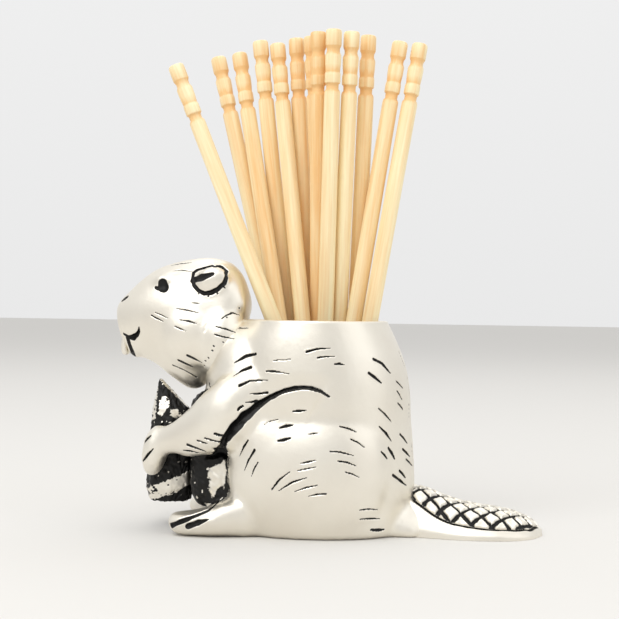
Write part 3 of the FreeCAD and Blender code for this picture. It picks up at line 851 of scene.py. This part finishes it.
def swellThigh(skin, line, sign):
    near = np.flatnonzero(((skin["points"] > line.min(0) - 6) & (skin["points"] < line.max(0) + 6)).all(1))
    distance, along, side = lineDistance(skin["points"][near], skin["normals"][near], line)
    fade = smoothStep(0, 0.12, along) * smoothStep(1.0, 0.9, along) * (distance < thighRise[1])
    rise, fall = (height * (1 - smoothStep(0.0, reach, distance)) for height, reach in (thighRise, flankFall))
    skin["swell"][near] += np.where(np.sign(side) * sign > 0, rise, -fall) * fade


body["swell"] = np.zeros(len(body["points"]))
engraveBody(body)
body["points"] += body["normals"] * body["swell"][:, None]
settle(body, 0.10, 14)
print("body engraved")


# An arm's own skin: how far it reaches in half heights, and its back and inner ends, then the same for the paw
armOwn = (1.15, -10.2, -2.4)
pawOwn = (1.35, -14)


# Left flank 0, right flank 1, left arm 2, right arm 3
def splitBody(skin):
    centres = skin["points"][skin["faces"]].mean(1)
    arm = np.array(limbShape["arm"])
    labels = np.where(centres[:, 1] < 0, 0, 1)
    for label, sign in ((2, 1), (3, -1)):
        line = arm[:, [0, 2, 1]] * (1, -sign, 1)
        distance = lineDistance(centres, centres, line)[0]
        tall = np.interp(centres[:, 0], np.sort(arm[:, 0]), arm[::-1, 4])
        middle, halfAxes = np.array(limbShape["paw"])
        pawDistance = np.linalg.norm((centres - middle * (1, sign, 1)) / halfAxes, axis=1)
        own = (distance < tall * armOwn[0]) & (centres[:, 0] < armOwn[1]) & (centres[:, 1] * sign < armOwn[2])
        own |= (pawDistance < pawOwn[0]) & (centres[:, 0] < pawOwn[1])
        labels[own] = label
    return labels


labels = splitBody(body)
for label, (name, nodes) in enumerate((("leftFlank", ("cup_body",)), ("rightFlank", ("cup_body",)),
                                       ("leftArm", ("left_arm",)), ("rightArm", ("right_arm",)))):
    skinPiece(name, *keptPart(body, labels == label), pewter, nodes)
print("body pieces made")


# The lip's round: share of the way inward, then drop below the rim
lipRound = ((0.04, 0.16), (0.14, 0.05), (0.30, 0.0), (0.70, 0.0), (0.86, 0.05), (0.96, 0.16))
# Patina in the cup: how far below the rim it starts, over what depth it grows, and how black it gets
cupPatina = (0.6, 2.5, 0.45)


# Lip, wall and floor of the cup, grown from the body's upper edge
def cupInside(skin):
    edges = skin["edges"][skin["edgeUse"] == 1]
    rim = np.unique(edges)
    rim = rim[skin["points"][rim, 2] > cup["rimHeight"] - 1.5]
    outer = skin["points"][rim]
    outer = outer[np.argsort(np.arctan2(outer[:, 1], outer[:, 0]))]
    angle = np.arctan2(outer[:, 1] / cup["spread"], outer[:, 0] / cup["reach"])

    def wallRing(inset, height):
        return np.column_stack([(cup["reach"] - inset) * np.cos(angle),
                                (cup["spread"] - inset) * np.sin(angle), np.full(len(angle), height)])

    top = cup["rimHeight"]
    inner = wallRing(0.0, top)
    rings = [outer]
    for share, drop in lipRound:
        ring = outer + (inner - outer) * share
        ring[:, 2] = top - drop
        rings.append(ring)
    low = cup["floor"] + cup["corner"]
    for height in np.linspace(top - 0.35, low, 36):
        share = (top - height) / (top - low)
        rings.append(wallRing(cup["draft"] * share, height))
    for turn in (0.3, 0.6, 0.85, 1.0):
        rings.append(wallRing(cup["draft"] + cup["corner"] * (1 - math.cos(turn * math.pi / 2)),
                              low - cup["corner"] * math.sin(turn * math.pi / 2)))
    base = rings[-1]
    for share in (0.8, 0.6, 0.4, 0.2, 0.0):
        rings.append(np.column_stack([base[:, :2] * share, base[:, 2]]))
    rings = np.array(rings)
    faces = ringQuads(rings)
    points = rings.reshape(-1, 3)
    clear, fade, black = cupPatina
    return points, faces, skinNormals(points, faces), black * np.clip((top - points[:, 2] - clear) / fade, 0, 1)


skinPiece("cupInside", *cupInside(body), pewter, ("cup_body",))
print("cup hollow made")

headShape = {
    "length": 17.9,
    "rise": 8.3,
    "drop": 9.8,
    "halfWidth": 5.6,
    "power": 2.1,
    "voxel": 0.36,
    "smoothing": 14,
    # forward share, top share of the rise, bottom share of the drop, half width share
    "levels": ((0.005, 0.38, 0.05, 0.72), (0.04, 0.64, -0.12, 0.82), (0.10, 0.83, -0.40, 0.92),
               (0.24, 0.965, -0.76, 0.99), (0.40, 0.965, -0.97, 1.00), (0.55, 0.90, -0.83, 0.95),
               (0.70, 0.78, -0.62, 0.80), (0.84, 0.555, -0.50, 0.62), (0.93, 0.36, -0.36, 0.46),
               (0.98, 0.245, -0.14, 0.30), (1.0, 0.175, 0.065, 0.10)),
    "ear": ((-13.45, -4.75, 32.7), (2.25, 0.95, 1.85)),
    "cheek": ((-16.2, -3.9, 25.6), (4.2, 2.3, 4.6)),
    "neck": ((-12.4, -3.3, 24.9), (3.3, 3.3, 5.2)),
    "muzzle": ((-23.4, -1.5, 26.6), (2.9, 1.9, 2.2)),
    "brow": ((-19.2, -3.2, 32.6), (2.4, 1.2, 1.0)),
    "lip": ((-24.1, -0.9, 23.5), (1.2, 1.5, 1.3)),
}
earTurn = Matrix.Rotation(math.radians(-16), 3, "Y")
headMarks = (
    (171.3, 265.4, 180.4, 263.6, 191.1, 262.6, 0.08, 0.16, 0.06),
    (173.3, 270.9, 181.2, 269.9, 192.1, 271.5, 0.06, 0.12, 0.04),
    (192.1, 302.9, 195.5, 303.2, 199.2, 303.6, 0.05, 0.08, 0.04),
    (175.8, 308.5, 187, 310.1, 198.4, 312.9, 0.04, 0.09, 0.03),
    (155, 312.5, 161, 314.8, 167.4, 318, 0.07, 0.08, 0.04),
    (151.5, 315.4, 156, 318, 163, 321.2, 0.12, 0.12, 0.06),
    (179.7, 320, 188.5, 321.2, 197.2, 323.8, 0.06, 0.16, 0.05),
    (174.8, 326.3, 180, 328.6, 186, 331, 0.08, 0.1, 0.04),
    (187.1, 355.3, 194, 358.6, 202.2, 362.9, 0.18, 0.15, 0.05),
    (178.2, 360.2, 185, 363.4, 192.3, 366.9, 0.16, 0.18, 0.08),
    (172.8, 365.2, 184, 370, 196.4, 377.2, 0.12, 0.08, 0.14),
    (221.8, 318.7, 226, 315.4, 232.7, 312.8, 239.6, 315.2, 0.1, 0.12, 0.05),
    (215.8, 326.6, 226, 329, 235.6, 332.5, 0.06, 0.13, 0.05),
    (214.8, 334.5, 223, 336.8, 234.6, 338.8, 0.12, 0.1, 0.04),
)
eyeLine = ((162.4, 283.4), (163.0, 287.4))
eyeNotch = ((158.4, 288.6), (155.4, 287.4))
mouthLine = ((138.8, 327.4), (138.6, 331.2), (136.6, 335.4), (133.0, 337.6), (128.6, 337.2), (123.6, 334.0))
lowerLipLine = ((127.4, 338.0), (129.0, 345.0), (131.6, 351.0), (133.4, 356.0))
nostrilLine = ((122.4, 300.4), (124.6, 298.6), (127.4, 296.8))
cheekLine = ((204.6, 331.0), (207.4, 326.0), (212.0, 321.4), (219.0, 318.0))
earOutline = ((193.6, 272.4), (192.4, 278.6), (194.0, 285.2), (198.2, 290.4), (204.4, 293.4), (211.0, 292.6),
              (218.0, 289.0), (224.2, 283.4), (227.0, 276.8), (226.0, 270.6), (220.6, 266.4), (212.6, 266.0),
              (203.6, 268.0), (197.4, 269.8), (193.6, 272.4))
earTicks = (((199.4, 290.6), (198.6, 294.0)), ((208.0, 293.6), (208.4, 296.8)), ((216.2, 290.8), (217.6, 293.8)),
            ((222.6, 286.0), (225.2, 288.0)))
# Dotted seam round the neck
neckDots = ((239.1, 307.8), (231.0, 312.6), (226.4, 317.0), (222.8, 341.9), (213.4, 345.9), (212.0, 350.4),
            (207.9, 357.6), (205.2, 360.7), (204.0, 365.4))
earSlit = ((193.8, 279.4), (200.0, 277.6), (207.0, 275.6), (212.6, 274.0))


def headSkin():
    shape = headShape
    rings = []
    for share in np.concatenate([np.linspace(0.005, 0.95, 36), [0.965, 0.978, 0.988, 0.995, 1.0]]):
        top, bottom, wide = station(shape["levels"], share)
        top = cup["rimHeight"] + top * shape["rise"]
        bottom = cup["rimHeight"] + bottom * shape["drop"]
        rings.append(ovalRing((-rimReach - share * shape["length"], 0, (top + bottom) / 2),
                              (0, wide * shape["halfWidth"], 0), (0, 0, (top - bottom) / 2),
                              shape["power"], 72))
    forms = [ringForm(rings)]
    for part in ("ear", "cheek", "neck", "muzzle", "brow", "lip"):
        form = ellipsoidForm(*shape[part], earTurn if part == "ear" else None)
        forms += [form, mirrored(form)]
    return newSkin(*meltedSkin("headSkin", forms, shape["voxel"], shape["smoothing"], 2))


# Line, widths, depth and lip of each mark on the head
headCuts = (
    [(markPixels(row), row[-3:], 0.16, 0.06) for row in headMarks]
    + [(tick, (0.12, 0.14, 0.10), 0.15, 0) for tick in earTicks]
    + [((dot, (dot[0] + 0.7, dot[1] + 0.5)), (0.11, 0.11, 0.11), 0.12, 0) for dot in neckDots]
    + [(eyeLine, (0.82, 0.92, 0.92), 0.38, 0), (eyeNotch, (0.34, 0.30, 0.26), 0.2, 0),
       (mouthLine, (0.12, 0.48, 0.20), 0.6, 0), (lowerLipLine, (0.38, 0.44, 0.52), 0.35, 0),
       (nostrilLine, (0.24, 0.36, 0.24), 0.2, 0), (earOutline, (0.26, 0.44, 0.26), 0.40, 0.03),
       (earSlit, (0.60, 0.56, 0.30), 0.35, 0)])
head = headSkin()
for pixels, widths, depth, lip in headCuts:
    line = laidLine(head["tree"], pixels, 0.05 if len(pixels) == 2 else 0.3)
    if len(line) > 1:
        engraveBoth(head, line, widths, depth, lip=lip)
# the cheek's rear edge: a shallow groove with a faint painted shade along it
engraveBoth(head, laidLine(head["tree"], cheekLine), (0.3, 0.7, 0.3), 0.10, 0.22, 0)
settle(head)
skinPiece("headSkin", *wholePart(head), pewter, ("head",))
print("head made", len(head["faces"]))

# Front tooth that hangs under the muzzle
toothShape = {
    "halfThickness": 0.46,
    "halfWidth": 1.0,
    # height, then x of its middle
    "middle": ((22.6, -25.72), (23.4, -25.84), (24.4, -25.84), (25.6, -25.4)),
    "power": 3.6,
}


def toothForm():
    middle = np.array(toothShape["middle"])
    rings = []
    for height in np.linspace(middle[0, 0], middle[-1, 0], 14):
        end = min(1.0, 0.86 + (height - middle[0, 0]) * 0.8)
        rings.append(ovalRing((*station(middle, height), 0, height),
                              (toothShape["halfThickness"] * end, 0, 0), (0, toothShape["halfWidth"] * end, 0),
                              toothShape["power"], 32))
    return ringForm(rings)


tooth = newSkin(*meltedSkin("tooth", [toothForm()], 0.2, 2, 1))
engrave(tooth, np.array([(-26.3, 0, h) for h in (22.6, 23.4, 24.4, 25.4)]), (0.12, 0.12, 0.12), 0.12)
skinPiece("frontTooth", *wholePart(settle(tooth)), pewter, ("head",))

logShape = {
    "forward": 10.3,
    "foot": 3.3,
    "top": 19.5,
    "halfLength": 3.1,
    "halfWidth": 2.7,
    "corners": ((-1.0, -0.25), (-0.70, -0.85), (0.10, -1.0), (0.85, -0.65), (1.0, 0.30), (0.35, 1.0),
                (-0.65, 0.80)),
    "levels": ((0.0, 0.86, 0.0), (0.10, 1.03, 0.0), (0.58, 0.92, 0.03), (0.76, 0.78, -0.02), (1.0, 0.07, -0.48)),
    "voxel": 0.24,
}
# Painted highlights: where the log's black is left off so its bright metal shows, drawn over the photograph
logHighlights = (
    ((154.4, 391.0), (157.4, 387.0), (156.6, 402.0), (155.6, 418.0), (151.8, 420.0), (153.0, 404.0)),
    ((162.0, 396.0), (167.0, 397.0), (170.0, 404.0), (166.0, 410.0), (163.0, 416.0), (157.6, 414.0), (159.6, 403.0)),
    ((170.0, 409.0), (177.0, 408.6), (181.6, 415.0), (175.0, 419.0), (169.0, 415.0)),
    ((160.0, 379.0), (163.4, 380.0), (189.6, 405.4), (188.0, 408.0), (166.0, 387.0)),
    ((145.6, 488.3), (163.0, 482.0), (183.0, 474.0), (192.5, 468.2), (197.0, 472.0), (190.3, 483.8),
     (175.0, 493.0), (158.0, 498.0), (146.7, 501.1)),
)


def logSkin():
    shape = logShape
    rings = []
    for height, girth, lean in shape["levels"]:
        corners = np.array(shape["corners"])
        fine = []
        for a, b in zip(corners, np.roll(corners, -1, axis=0)):
            fine += [a + (b - a) * t for t in (0, 0.25, 0.5, 0.75)]
        fine = np.array(fine)
        rings.append(np.column_stack([
            -rimReach - shape["forward"] + (fine[:, 0] * girth + lean) * shape["halfLength"],
            fine[:, 1] * girth * shape["halfWidth"],
            np.full(len(fine), shape["foot"] + height * (shape["top"] - shape["foot"]))]))
    return newSkin(*meltedSkin("gnawedLog", [ringForm(rings)], shape["voxel"], 1, 1))


logMark = {
    "seed": 5,
    "count": 150,
    "heights": (3.6, 19.0),
    "gnawedAbove": 14.5,
    "gnawLength": (0.7, 1.4),
    "barkLength": (0.8, 2.2),
    "drift": 0.3,
    "width": (0.12, 0.24),
    "endWidth": 0.05,
    "gnawDepth": 0.14,
    "barkDepth": 0.22,
    "patina": 0.75,
    "edge": ((1.5, 7, 2.2), (0.45, 8, 1.8)),
    "spots": ((0.7, 9, 1.0), (2.6, 10, 0.4)),
}


def logMarks(skin):
    marks = logMark
    seeded = np.random.default_rng(marks["seed"])
    tree = skin["tree"]
    middle = -rimReach - logShape["forward"]
    # tooth marks round the gnawed point, and bark below it
    for _ in range(marks["count"]):
        turn = seeded.uniform(0, 2 * math.pi)
        height = seeded.uniform(*marks["heights"])
        gnawed = height > marks["gnawedAbove"]
        length = seeded.uniform(*marks["gnawLength" if gnawed else "barkLength"])
        drift = seeded.uniform(-marks["drift"], marks["drift"])
        line = []
        for step in np.linspace(-0.5, 0.5, 5):
            out = Vector((math.cos(turn + drift * step), math.sin(turn + drift * step), 0))
            start = Vector((middle, 0, height + step * length)) + out * 8
            hit = tree.ray_cast(start, -out)[0]
            if hit is not None:
                line.append(hit)
        if len(line) > 2:
            widths = (marks["endWidth"], seeded.uniform(*marks["width"]), marks["endWidth"])
            engrave(skin, np.array(line), widths, marks["gnawDepth" if gnawed else "barkDepth"], 0.9)
    rough = roughEdge(skin["points"], marks["edge"])
    spots = smoothStep(1.35, 1.8, roughEdge(skin["points"], marks["spots"]))
    facing = skin["normals"][:, 1] < 0.1
    pixels = pixelsOf(skin["points"])
    # painted highlights on the side facing the camera: the black is left off inside each outline
    for outline in logHighlights:
        shown = smoothStep(-1.0, 1.2, depthInside(pixels, outline) + rough * 0.35) * facing
        skin["polishAndHighlight"] = np.maximum(skin["polishAndHighlight"], shown * smoothStep(2.6, 1.8, rough))
    # the far side is buffed along its foot and its ridges
    low = smoothStep(7.2, 6.0, skin["points"][:, 2] + rough * 0.5) * (skin["normals"][:, 1] > 0.1)
    skin["polishAndHighlight"] = np.maximum(skin["polishAndHighlight"], np.maximum(spots * 0.8, low * smoothStep(1.6, 0.8, rough)))
    skin["lift"] += 0.05 * unevenness(skin["points"], 0.8, 11)
    skin["shift"] *= 1 - 0.9 * skin["polishAndHighlight"]
    skin["lift"] *= 1 - 0.8 * skin["polishAndHighlight"]
    skin["patina"] = np.maximum(skin["patina"], marks["patina"])


log = logSkin()
logMarks(log)
settle(log)
skinPiece("gnawedLogSkin", *wholePart(log), pewter, ("gnawed_log",))
print("log made", len(log["faces"]))

tailShape = {
    "root": rimReach + 1.9,
    "length": 18.7,
    "crown": 7.2,
    "halfWidth": 6.9,
    "levels": ((0.0, 1.0, 0.72), (0.104, 0.875, 0.76), (0.211, 0.79, 0.84), (0.334, 0.667, 0.93),
               (0.452, 0.576, 0.985), (0.586, 0.514, 1.0), (0.735, 0.456, 0.95), (0.853, 0.375, 0.80),
               (0.939, 0.257, 0.55), (1.0, 0.104, 0.16)),
    "section": ((1.0, 0.0), (0.98, 0.20), (0.86, 0.46), (0.62, 0.76), (0.32, 0.94), (0.0, 1.0)),
    "steps": 190,
    "around": 150,
}
# Lengths in millimetres; the starts are shares of the paddle's length at its sides and along its crown
scaleLattice = {
    "scaleLength": 2.6,
    "scaleWidth": 2.9,
    "grooveWidth": 0.72,
    "grooveDepth": 0.35,
    "unevenness": 0.5,
    "lip": 0.10,
    "rimLine": 0.16,
    "sideStart": 0.06,
    "crownStart": 0.165,
    # along share, then share of the half width that the scales fill
    "field": ((0.0, 0.56), (0.11, 0.66), (0.25, 0.81), (0.35, 0.865), (0.45, 0.88), (0.72, 0.885), (0.86, 0.84),
              (0.94, 0.70), (0.98, 0.30), (1.0, 0.0)),
}


def tailSkin():
    shape = tailShape
    section = np.array(shape["section"])
    half = np.linspace(0, 1, shape["around"] // 2)
    spacing = np.linspace(0, 1, len(section))
    outs = smoothCurve(spacing, section[:, 0], half)
    ups = smoothCurve(spacing, section[:, 1], half)
    rings = []
    for share in 1 - (1 - np.linspace(0, 1, shape["steps"])) ** 1.25:
        crown, wide = station(shape["levels"], share)
        crown, wide = crown * shape["crown"], wide * shape["halfWidth"]
        left = np.column_stack([-outs * wide, ups * crown])
        right = left[::-1][1:] * (-1, 1)
        arch = np.vstack([left, right])
        under = np.column_stack([np.linspace(wide, -wide, 26)[1:-1], np.zeros(24)])
        loop = np.vstack([arch, under])
        rings.append(np.column_stack([np.full(len(loop), shape["root"] + share * shape["length"]), loop]))
    rings = np.array(rings)
    tip = np.repeat(rings[-1].mean(0)[None] + (0.05, 0, 0), rings.shape[1], 0)
    rings = np.concatenate([rings, (rings[-1] * 0.5 + tip * 0.5)[None], tip[None]])
    return newSkin(rings.reshape(-1, 3), ringQuads(rings)[:, (1, 2, 3, 0)])


# x at which the first groove crosses the paddle's middle
scaleLattice["firstGroove"] = (tailShape["root"]
                               - tailShape["halfWidth"] * scaleLattice["scaleLength"] / scaleLattice["scaleWidth"])


# How far inside the field of scales each point of the paddle lies, in millimetres
def fieldDepth(points):
    along = np.linspace(scaleLattice["sideStart"], 0.98, 70)
    reach = (station(scaleLattice["field"], along)[0] * tailShape["halfWidth"]
             * station(tailShape["levels"], along)[1])
    outline = np.vstack([np.column_stack([along, -reach]), np.column_stack([along, reach])[::-1],
                         [[scaleLattice["crownStart"], 0.0]]])
    outline[:, 0] = tailShape["root"] + outline[:, 0] * tailShape["length"]
    return depthInside(points[:, :2], outline)


# The lattice's inputs, and the measures of scaleLattice that they take
latticeInputs = {"Scale length": "scaleLength", "Scale width": "scaleWidth", "Groove width": "grooveWidth",
                 "Groove depth": "grooveDepth", "Lip": "lip", "Rim line": "rimLine", "Unevenness": "unevenness",
                 "First groove": "firstGroove"}


# Node group with named inputs, and its sockets
def newGroup(name, inputs, output):
    tree = bpy.data.node_groups.new(name, "GeometryNodeTree")
    for label, kind in inputs.items():
        tree.interface.new_socket(label, in_out="INPUT", socket_type="NodeSocket" + kind)
    tree.interface.new_socket(output, in_out="OUTPUT", socket_type="NodeSocketGeometry")
    return tree, addNode(tree, "NodeGroupInput").outputs


def finishGroup(tree, geometry, material, output):
    real = addNode(tree, "GeometryNodeRealizeInstances", {"Geometry": geometry})
    clad = addNode(tree, "GeometryNodeSetMaterial", {"Geometry": real.outputs[0], "Material": material})
    addNode(tree, "NodeGroupOutput", {output: clad.outputs[0]})
    return tree


def namedField(tree, name):
    return addNode(tree, "GeometryNodeInputNamedAttribute", {"data_type": "FLOAT", "Name": name}).outputs["Attribute"]


# Geometry nodes that press two crossing families of grooves into a paddle and leave scales between
def latticeTree():
    kinds = {"Paddle": "Geometry", **dict.fromkeys(latticeInputs, "Float"), "Metal": "Material"}
    tree, given = newGroup("scaleLattice", kinds, "Scaled")
    length, width = given["Scale length"], given["Groove width"]

    def times(first, second):
        return maths(tree, "MULTIPLY", first, second)

    def fade(value, low, high):
        return ramp(tree, value, low, high, curve="SMOOTHSTEP")

    place = addNode(tree, "GeometryNodeInputPosition").outputs[0]
    split = addNode(tree, "ShaderNodeSeparateXYZ", {0: place}).outputs
    slope = maths(tree, "DIVIDE", length, given["Scale width"])
    lean = maths(tree, "SQRT", maths(tree, "ADD", times(slope, slope), 1.0))
    start = maths(tree, "SUBTRACT", split["X"], given["First groove"])
    across = times(split["Y"], slope)
    distances = [maths(tree, "DIVIDE", maths(tree, "PINGPONG", maths(tree, operation, start, across),
                                             times(length, 0.5)), lean)
                 for operation in ("ADD", "SUBTRACT")]
    wander = addNode(tree, "ShaderNodeTexNoise", {"Scale": 1.1, "Detail": 2.0}).outputs["Fac"]
    nearest = maths(tree, "ADD", maths(tree, "MINIMUM", *distances),
                    times(maths(tree, "SUBTRACT", wander, 0.5), given["Unevenness"]))
    depth = namedField(tree, "fieldDepth")
    inField = fade(depth, 0.0, times(width, 0.4))
    half = times(width, 0.5)
    groove = times(fade(nearest, half, times(half, 0.35)), inField)
    rim = fade(maths(tree, "ABSOLUTE", depth), given["Rim line"], times(given["Rim line"], 0.3))
    pressed = maths(tree, "MAXIMUM", groove, rim)
    lipBand = times(fade(nearest, times(half, 2.4), times(half, 1.2)), inField)
    raised = times(maths(tree, "SUBTRACT", lipBand, pressed), given["Lip"])
    move = maths(tree, "SUBTRACT", raised, times(pressed, given["Groove depth"]))
    normal = addNode(tree, "GeometryNodeInputNormal").outputs[0]
    shift = addNode(tree, "ShaderNodeVectorMath", {"operation": "SCALE", 0: normal, "Scale": move})
    marked = addNode(tree, "GeometryNodeStoreNamedAttribute", {
        "data_type": "FLOAT", "Name": "patina", "Geometry": given["Paddle"], "Value": pressed})
    moved = addNode(tree, "GeometryNodeSetPosition", {"Geometry": marked.outputs[0], "Offset": shift.outputs[0]})
    return finishGroup(tree, moved.outputs[0], given["Metal"], "Scaled")


def setInput(modifier, label, value):
    for item in modifier.node_group.interface.items_tree:
        if item.name == label and item.in_out == "INPUT":
            modifier[item.identifier] = value


def scaledTail(skin):
    paddle = meshObject("paddle", skin["points"], skin["faces"])
    top = skin["normals"][:, 2] > 0.05
    setField(paddle.data, "fieldDepth", np.where(top, fieldDepth(skin["points"]), -9.0))
    lattice = paddle.modifiers.new("lattice", "NODES")
    lattice.node_group = latticeTree()
    for label, measure in latticeInputs.items():
        setInput(lattice, label, scaleLattice[measure])
    setInput(lattice, "Metal", pewter)
    mesh = evaluatedMesh(paddle)
    points, faces = meshArrays(mesh)
    patina = np.empty(len(mesh.vertices))
    mesh.attributes["patina"].data.foreach_get("value", patina)
    bpy.data.objects.remove(paddle)
    return points, faces, skinNormals(points, faces), patina


tailPart = scaledTail(tailSkin())
skinPiece("tailSkin", *tailPart, pewter, ("tail",))
print("tail made", len(tailPart[1]))

pickShape = {
    "length": 65.0,
    "radius": 1.07,
    # drop from the top, then radius
    "outline": ((0.0, 0.0), (0.0, 0.72), (0.05, 0.90), (0.22, 1.03), (0.45, 1.07), (2.1, 1.07), (2.25, 1.02),
                (2.55, 0.88), (2.95, 0.86), (3.25, 0.97), (3.4, 1.05), (3.6, 1.07), (4.6, 1.05), (5.6, 0.96),
                (5.75, 0.99), (5.9, 1.04), (6.1, 1.05), (7.0, 1.05), (7.12, 1.0), (7.25, 0.84), (7.9, 0.82),
                (8.1, 0.98), (8.3, 1.05), (8.6, 1.07), (40.0, 1.07), (57.0, 1.07), (59.0, 0.92), (62.0, 0.52),
                (64.6, 0.17), (65.0, 0.09), (65.0, 0.0)),
    "around": 40,
}
# Foot and rim places of each toothpick, in its radii, then how deep its wood is coloured
pickPlaces = (
    (4.567, -1.884, -5.465, -0.981, 0.00),
    (0.381, 1.052, -5.743, 4.000, 0.08),
    (-0.504, -2.306, -5.025, 1.786, 0.26),
    (-1.507, 5.395, -4.347, 5.667, 0.14),
    (0.764, -0.649, -2.112, 2.146, 0.05),
    (-0.480, 7.241, -1.815, 6.692, 0.24),
    (1.676, 7.043, 0.306, 5.909, 0.36),
    (-0.211, 5.520, -0.356, 3.815, 0.50),
    (0.329, 3.372, 0.798, 1.952, 0.02),
    (1.628, 5.115, 2.445, 3.484, 0.00),
    (3.562, 5.782, 4.373, 5.194, 0.25),
    (0.708, 0.700, 4.346, 2.381, 0.20),
    (2.418, -0.709, 6.404, 1.600, 0.08),
)
seatHeight = 1.3
# Drop from the top, then how much darker the wood is made there, in and beside the turned grooves and at the very top
grooveTint = ((0.0, 0.10), (0.3, 0.0), (2.0, 0.0), (2.25, 0.75), (3.25, 0.35), (3.5, 0.0), (5.3, 0.0), (5.6, 0.6),
            (5.8, 0.0), (7.0, 0.0), (7.25, 0.8), (8.1, 0.5), (8.4, 0.0), (65.0, 0.0))


# Geometry nodes that turn an outline: a line of points with a radius becomes a lathed solid
def turningTree():
    tree, given = newGroup("turnOnLathe", {"Outline": "Geometry", "Facets": "Int", "Wood": "Material"}, "Turned")
    spine = addNode(tree, "GeometryNodeMeshToCurve", {"Mesh": given["Outline"]}).outputs["Curve"]
    size = namedField(tree, "turnRadius")
    sized = addNode(tree, "GeometryNodeSetCurveRadius", {"Curve": spine, "Radius": size}).outputs["Curve"]
    circle = addNode(tree, "GeometryNodeCurvePrimitiveCircle", {"Radius": 1.0, "Resolution": given["Facets"]})
    turned = addNode(tree, "GeometryNodeCurveToMesh", {"Curve": sized, "Profile Curve": circle.outputs["Curve"]})
    if "Scale" in turned.inputs:
        tree.links.new(size, turned.inputs["Scale"])
    merged = addNode(tree, "GeometryNodeMergeByDistance", {"Distance": 0.001, "Geometry": turned.outputs["Mesh"]})
    smooth = addNode(tree, "GeometryNodeSetShadeSmooth", {"Geometry": merged.outputs["Geometry"]})
    return finishGroup(tree, smooth.outputs["Geometry"], given["Wood"], "Turned")


def turnedPick():
    shape = pickShape
    outline = np.array(shape["outline"])
    drops = []
    for a, b in zip(outline, outline[1:]):
        count = max(1, int(abs(b[0] - a[0]) / 2.0))
        drops += [a + (b - a) * k / count for k in range(count)]
    drops = np.array(drops + [outline[-1]])[::-1]
    line = bpy.data.meshes.new("pickOutline")
    heights = shape["length"] - drops[:, 0]
    heights += np.linspace(0, 1e-4, len(heights))
    line.from_pydata([(0, 0, h) for h in heights], [(k, k + 1) for k in range(len(heights) - 1)], [])
    setField(line, "turnRadius", np.maximum(drops[:, 1], 0.0005))
    blank = linked("pickBlank", line)
    lathe = blank.modifiers.new("lathe", "NODES")
    lathe.node_group = turningTree()
    setInput(lathe, "Facets", shape["around"])
    setInput(lathe, "Wood", birch)
    mesh = evaluatedMesh(blank)
    bpy.data.objects.remove(blank)
    return mesh


def placePicks():
    pattern = turnedPick()
    local = np.empty(len(pattern.vertices) * 3)
    pattern.vertices.foreach_get("co", local)
    local = local.reshape(-1, 3)
    print("pick points", len(local), "radius", np.abs(local[:, 0]).max(), "length", local[:, 2].max())
    for number, (footX, footY, rimX, rimY, tint) in enumerate(pickPlaces, start=1):
        foot = Vector((footX * pickShape["radius"], footY * pickShape["radius"], seatHeight))
        rim = Vector((rimX * pickShape["radius"], rimY * pickShape["radius"], cup["rimHeight"]))
        turn = Vector((0, 0, 1)).rotation_difference(rim - foot).to_matrix()
        spin = Matrix.Rotation(number * 2.4, 3, "Z")
        mesh = pattern.copy()
        mesh.name = "pick%02d" % number
        placed = local @ np.array(turn @ spin).T + np.array(foot)
        mesh.vertices.foreach_set("co", (placed * mm).astype(np.float32).ravel())
        setField(mesh, "turned", local + (number * 7.3, 0, number * 31.0))
        setField(mesh, "tint", tint + np.interp(pickShape["length"] - local[:, 2], *np.array(grooveTint).T))
        mesh.update()
        made = linked("pick%02d" % number, mesh)
        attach(made, "toothpick_%02d" % number)
        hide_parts("toothpick_%02d" % number)


placePicks()
print("toothpicks made")

studio = {
    "floor": "#D8D6D2",
    "floorSize": 6.0,
    # the room's light from its foot to its top, and what the side behind the camera and the far side add to it
    "rise": (-0.3, 0.8, 0.68, 0.90),
    "behind": (-0.9, 0.5, -0.12, 0.08),
    # name, place, aim, size and power of each lamp
    "lamps": (("keyLamp", (-0.18, -0.35, 0.42), (0, 0, 0.02), 0.45, 1.6),
              ("fillLamp", (0.40, -0.20, 0.25), (0, 0, 0.02), 0.45, 0.3),
              ("topLamp", (0.05, 0.25, 0.55), (0, 0, 0.03), 0.50, 0.6)),
}


def plainMaterial(name, code):
    material, tree = newMaterial(name)
    finishMaterial(tree, {"Roughness": 0.9, "Base Color": colour(code)})
    return material


def makeStudio():
    bpy.ops.mesh.primitive_plane_add(size=studio["floorSize"], location=(0, 0, 0))
    floor = bpy.context.object
    floor.name = "floor"
    floor.data.materials.append(plainMaterial("paleFloor", studio["floor"]))
    world = bpy.data.worlds.new("softRoom")
    bpy.context.scene.world = world
    world.use_nodes = True
    tree = world.node_tree
    tree.nodes.clear()
    place = addNode(tree, "ShaderNodeTexCoord").outputs["Generated"]
    split = addNode(tree, "ShaderNodeSeparateXYZ", {0: place}).outputs
    level = maths(tree, "ADD", ramp(tree, split["Z"], *studio["rise"]), ramp(tree, split["Y"], *studio["behind"]))
    light = addNode(tree, "ShaderNodeBackground", {"Color": (1, 1, 1, 1), "Strength": level})
    addNode(tree, "ShaderNodeOutputWorld", {"Surface": light.outputs[0]})
    for name, place, aim, size, power in studio["lamps"]:
        lamp = bpy.data.lights.new(name, "AREA")
        lamp.size = size
        lamp.energy = power
        made = linked(name, lamp)
        made.location = place
        made.rotation_euler = (Vector(aim) - Vector(place)).to_track_quat("-Z", "Y").to_euler()
    bpy.context.scene.view_settings.view_transform = "Standard"


makeStudio()
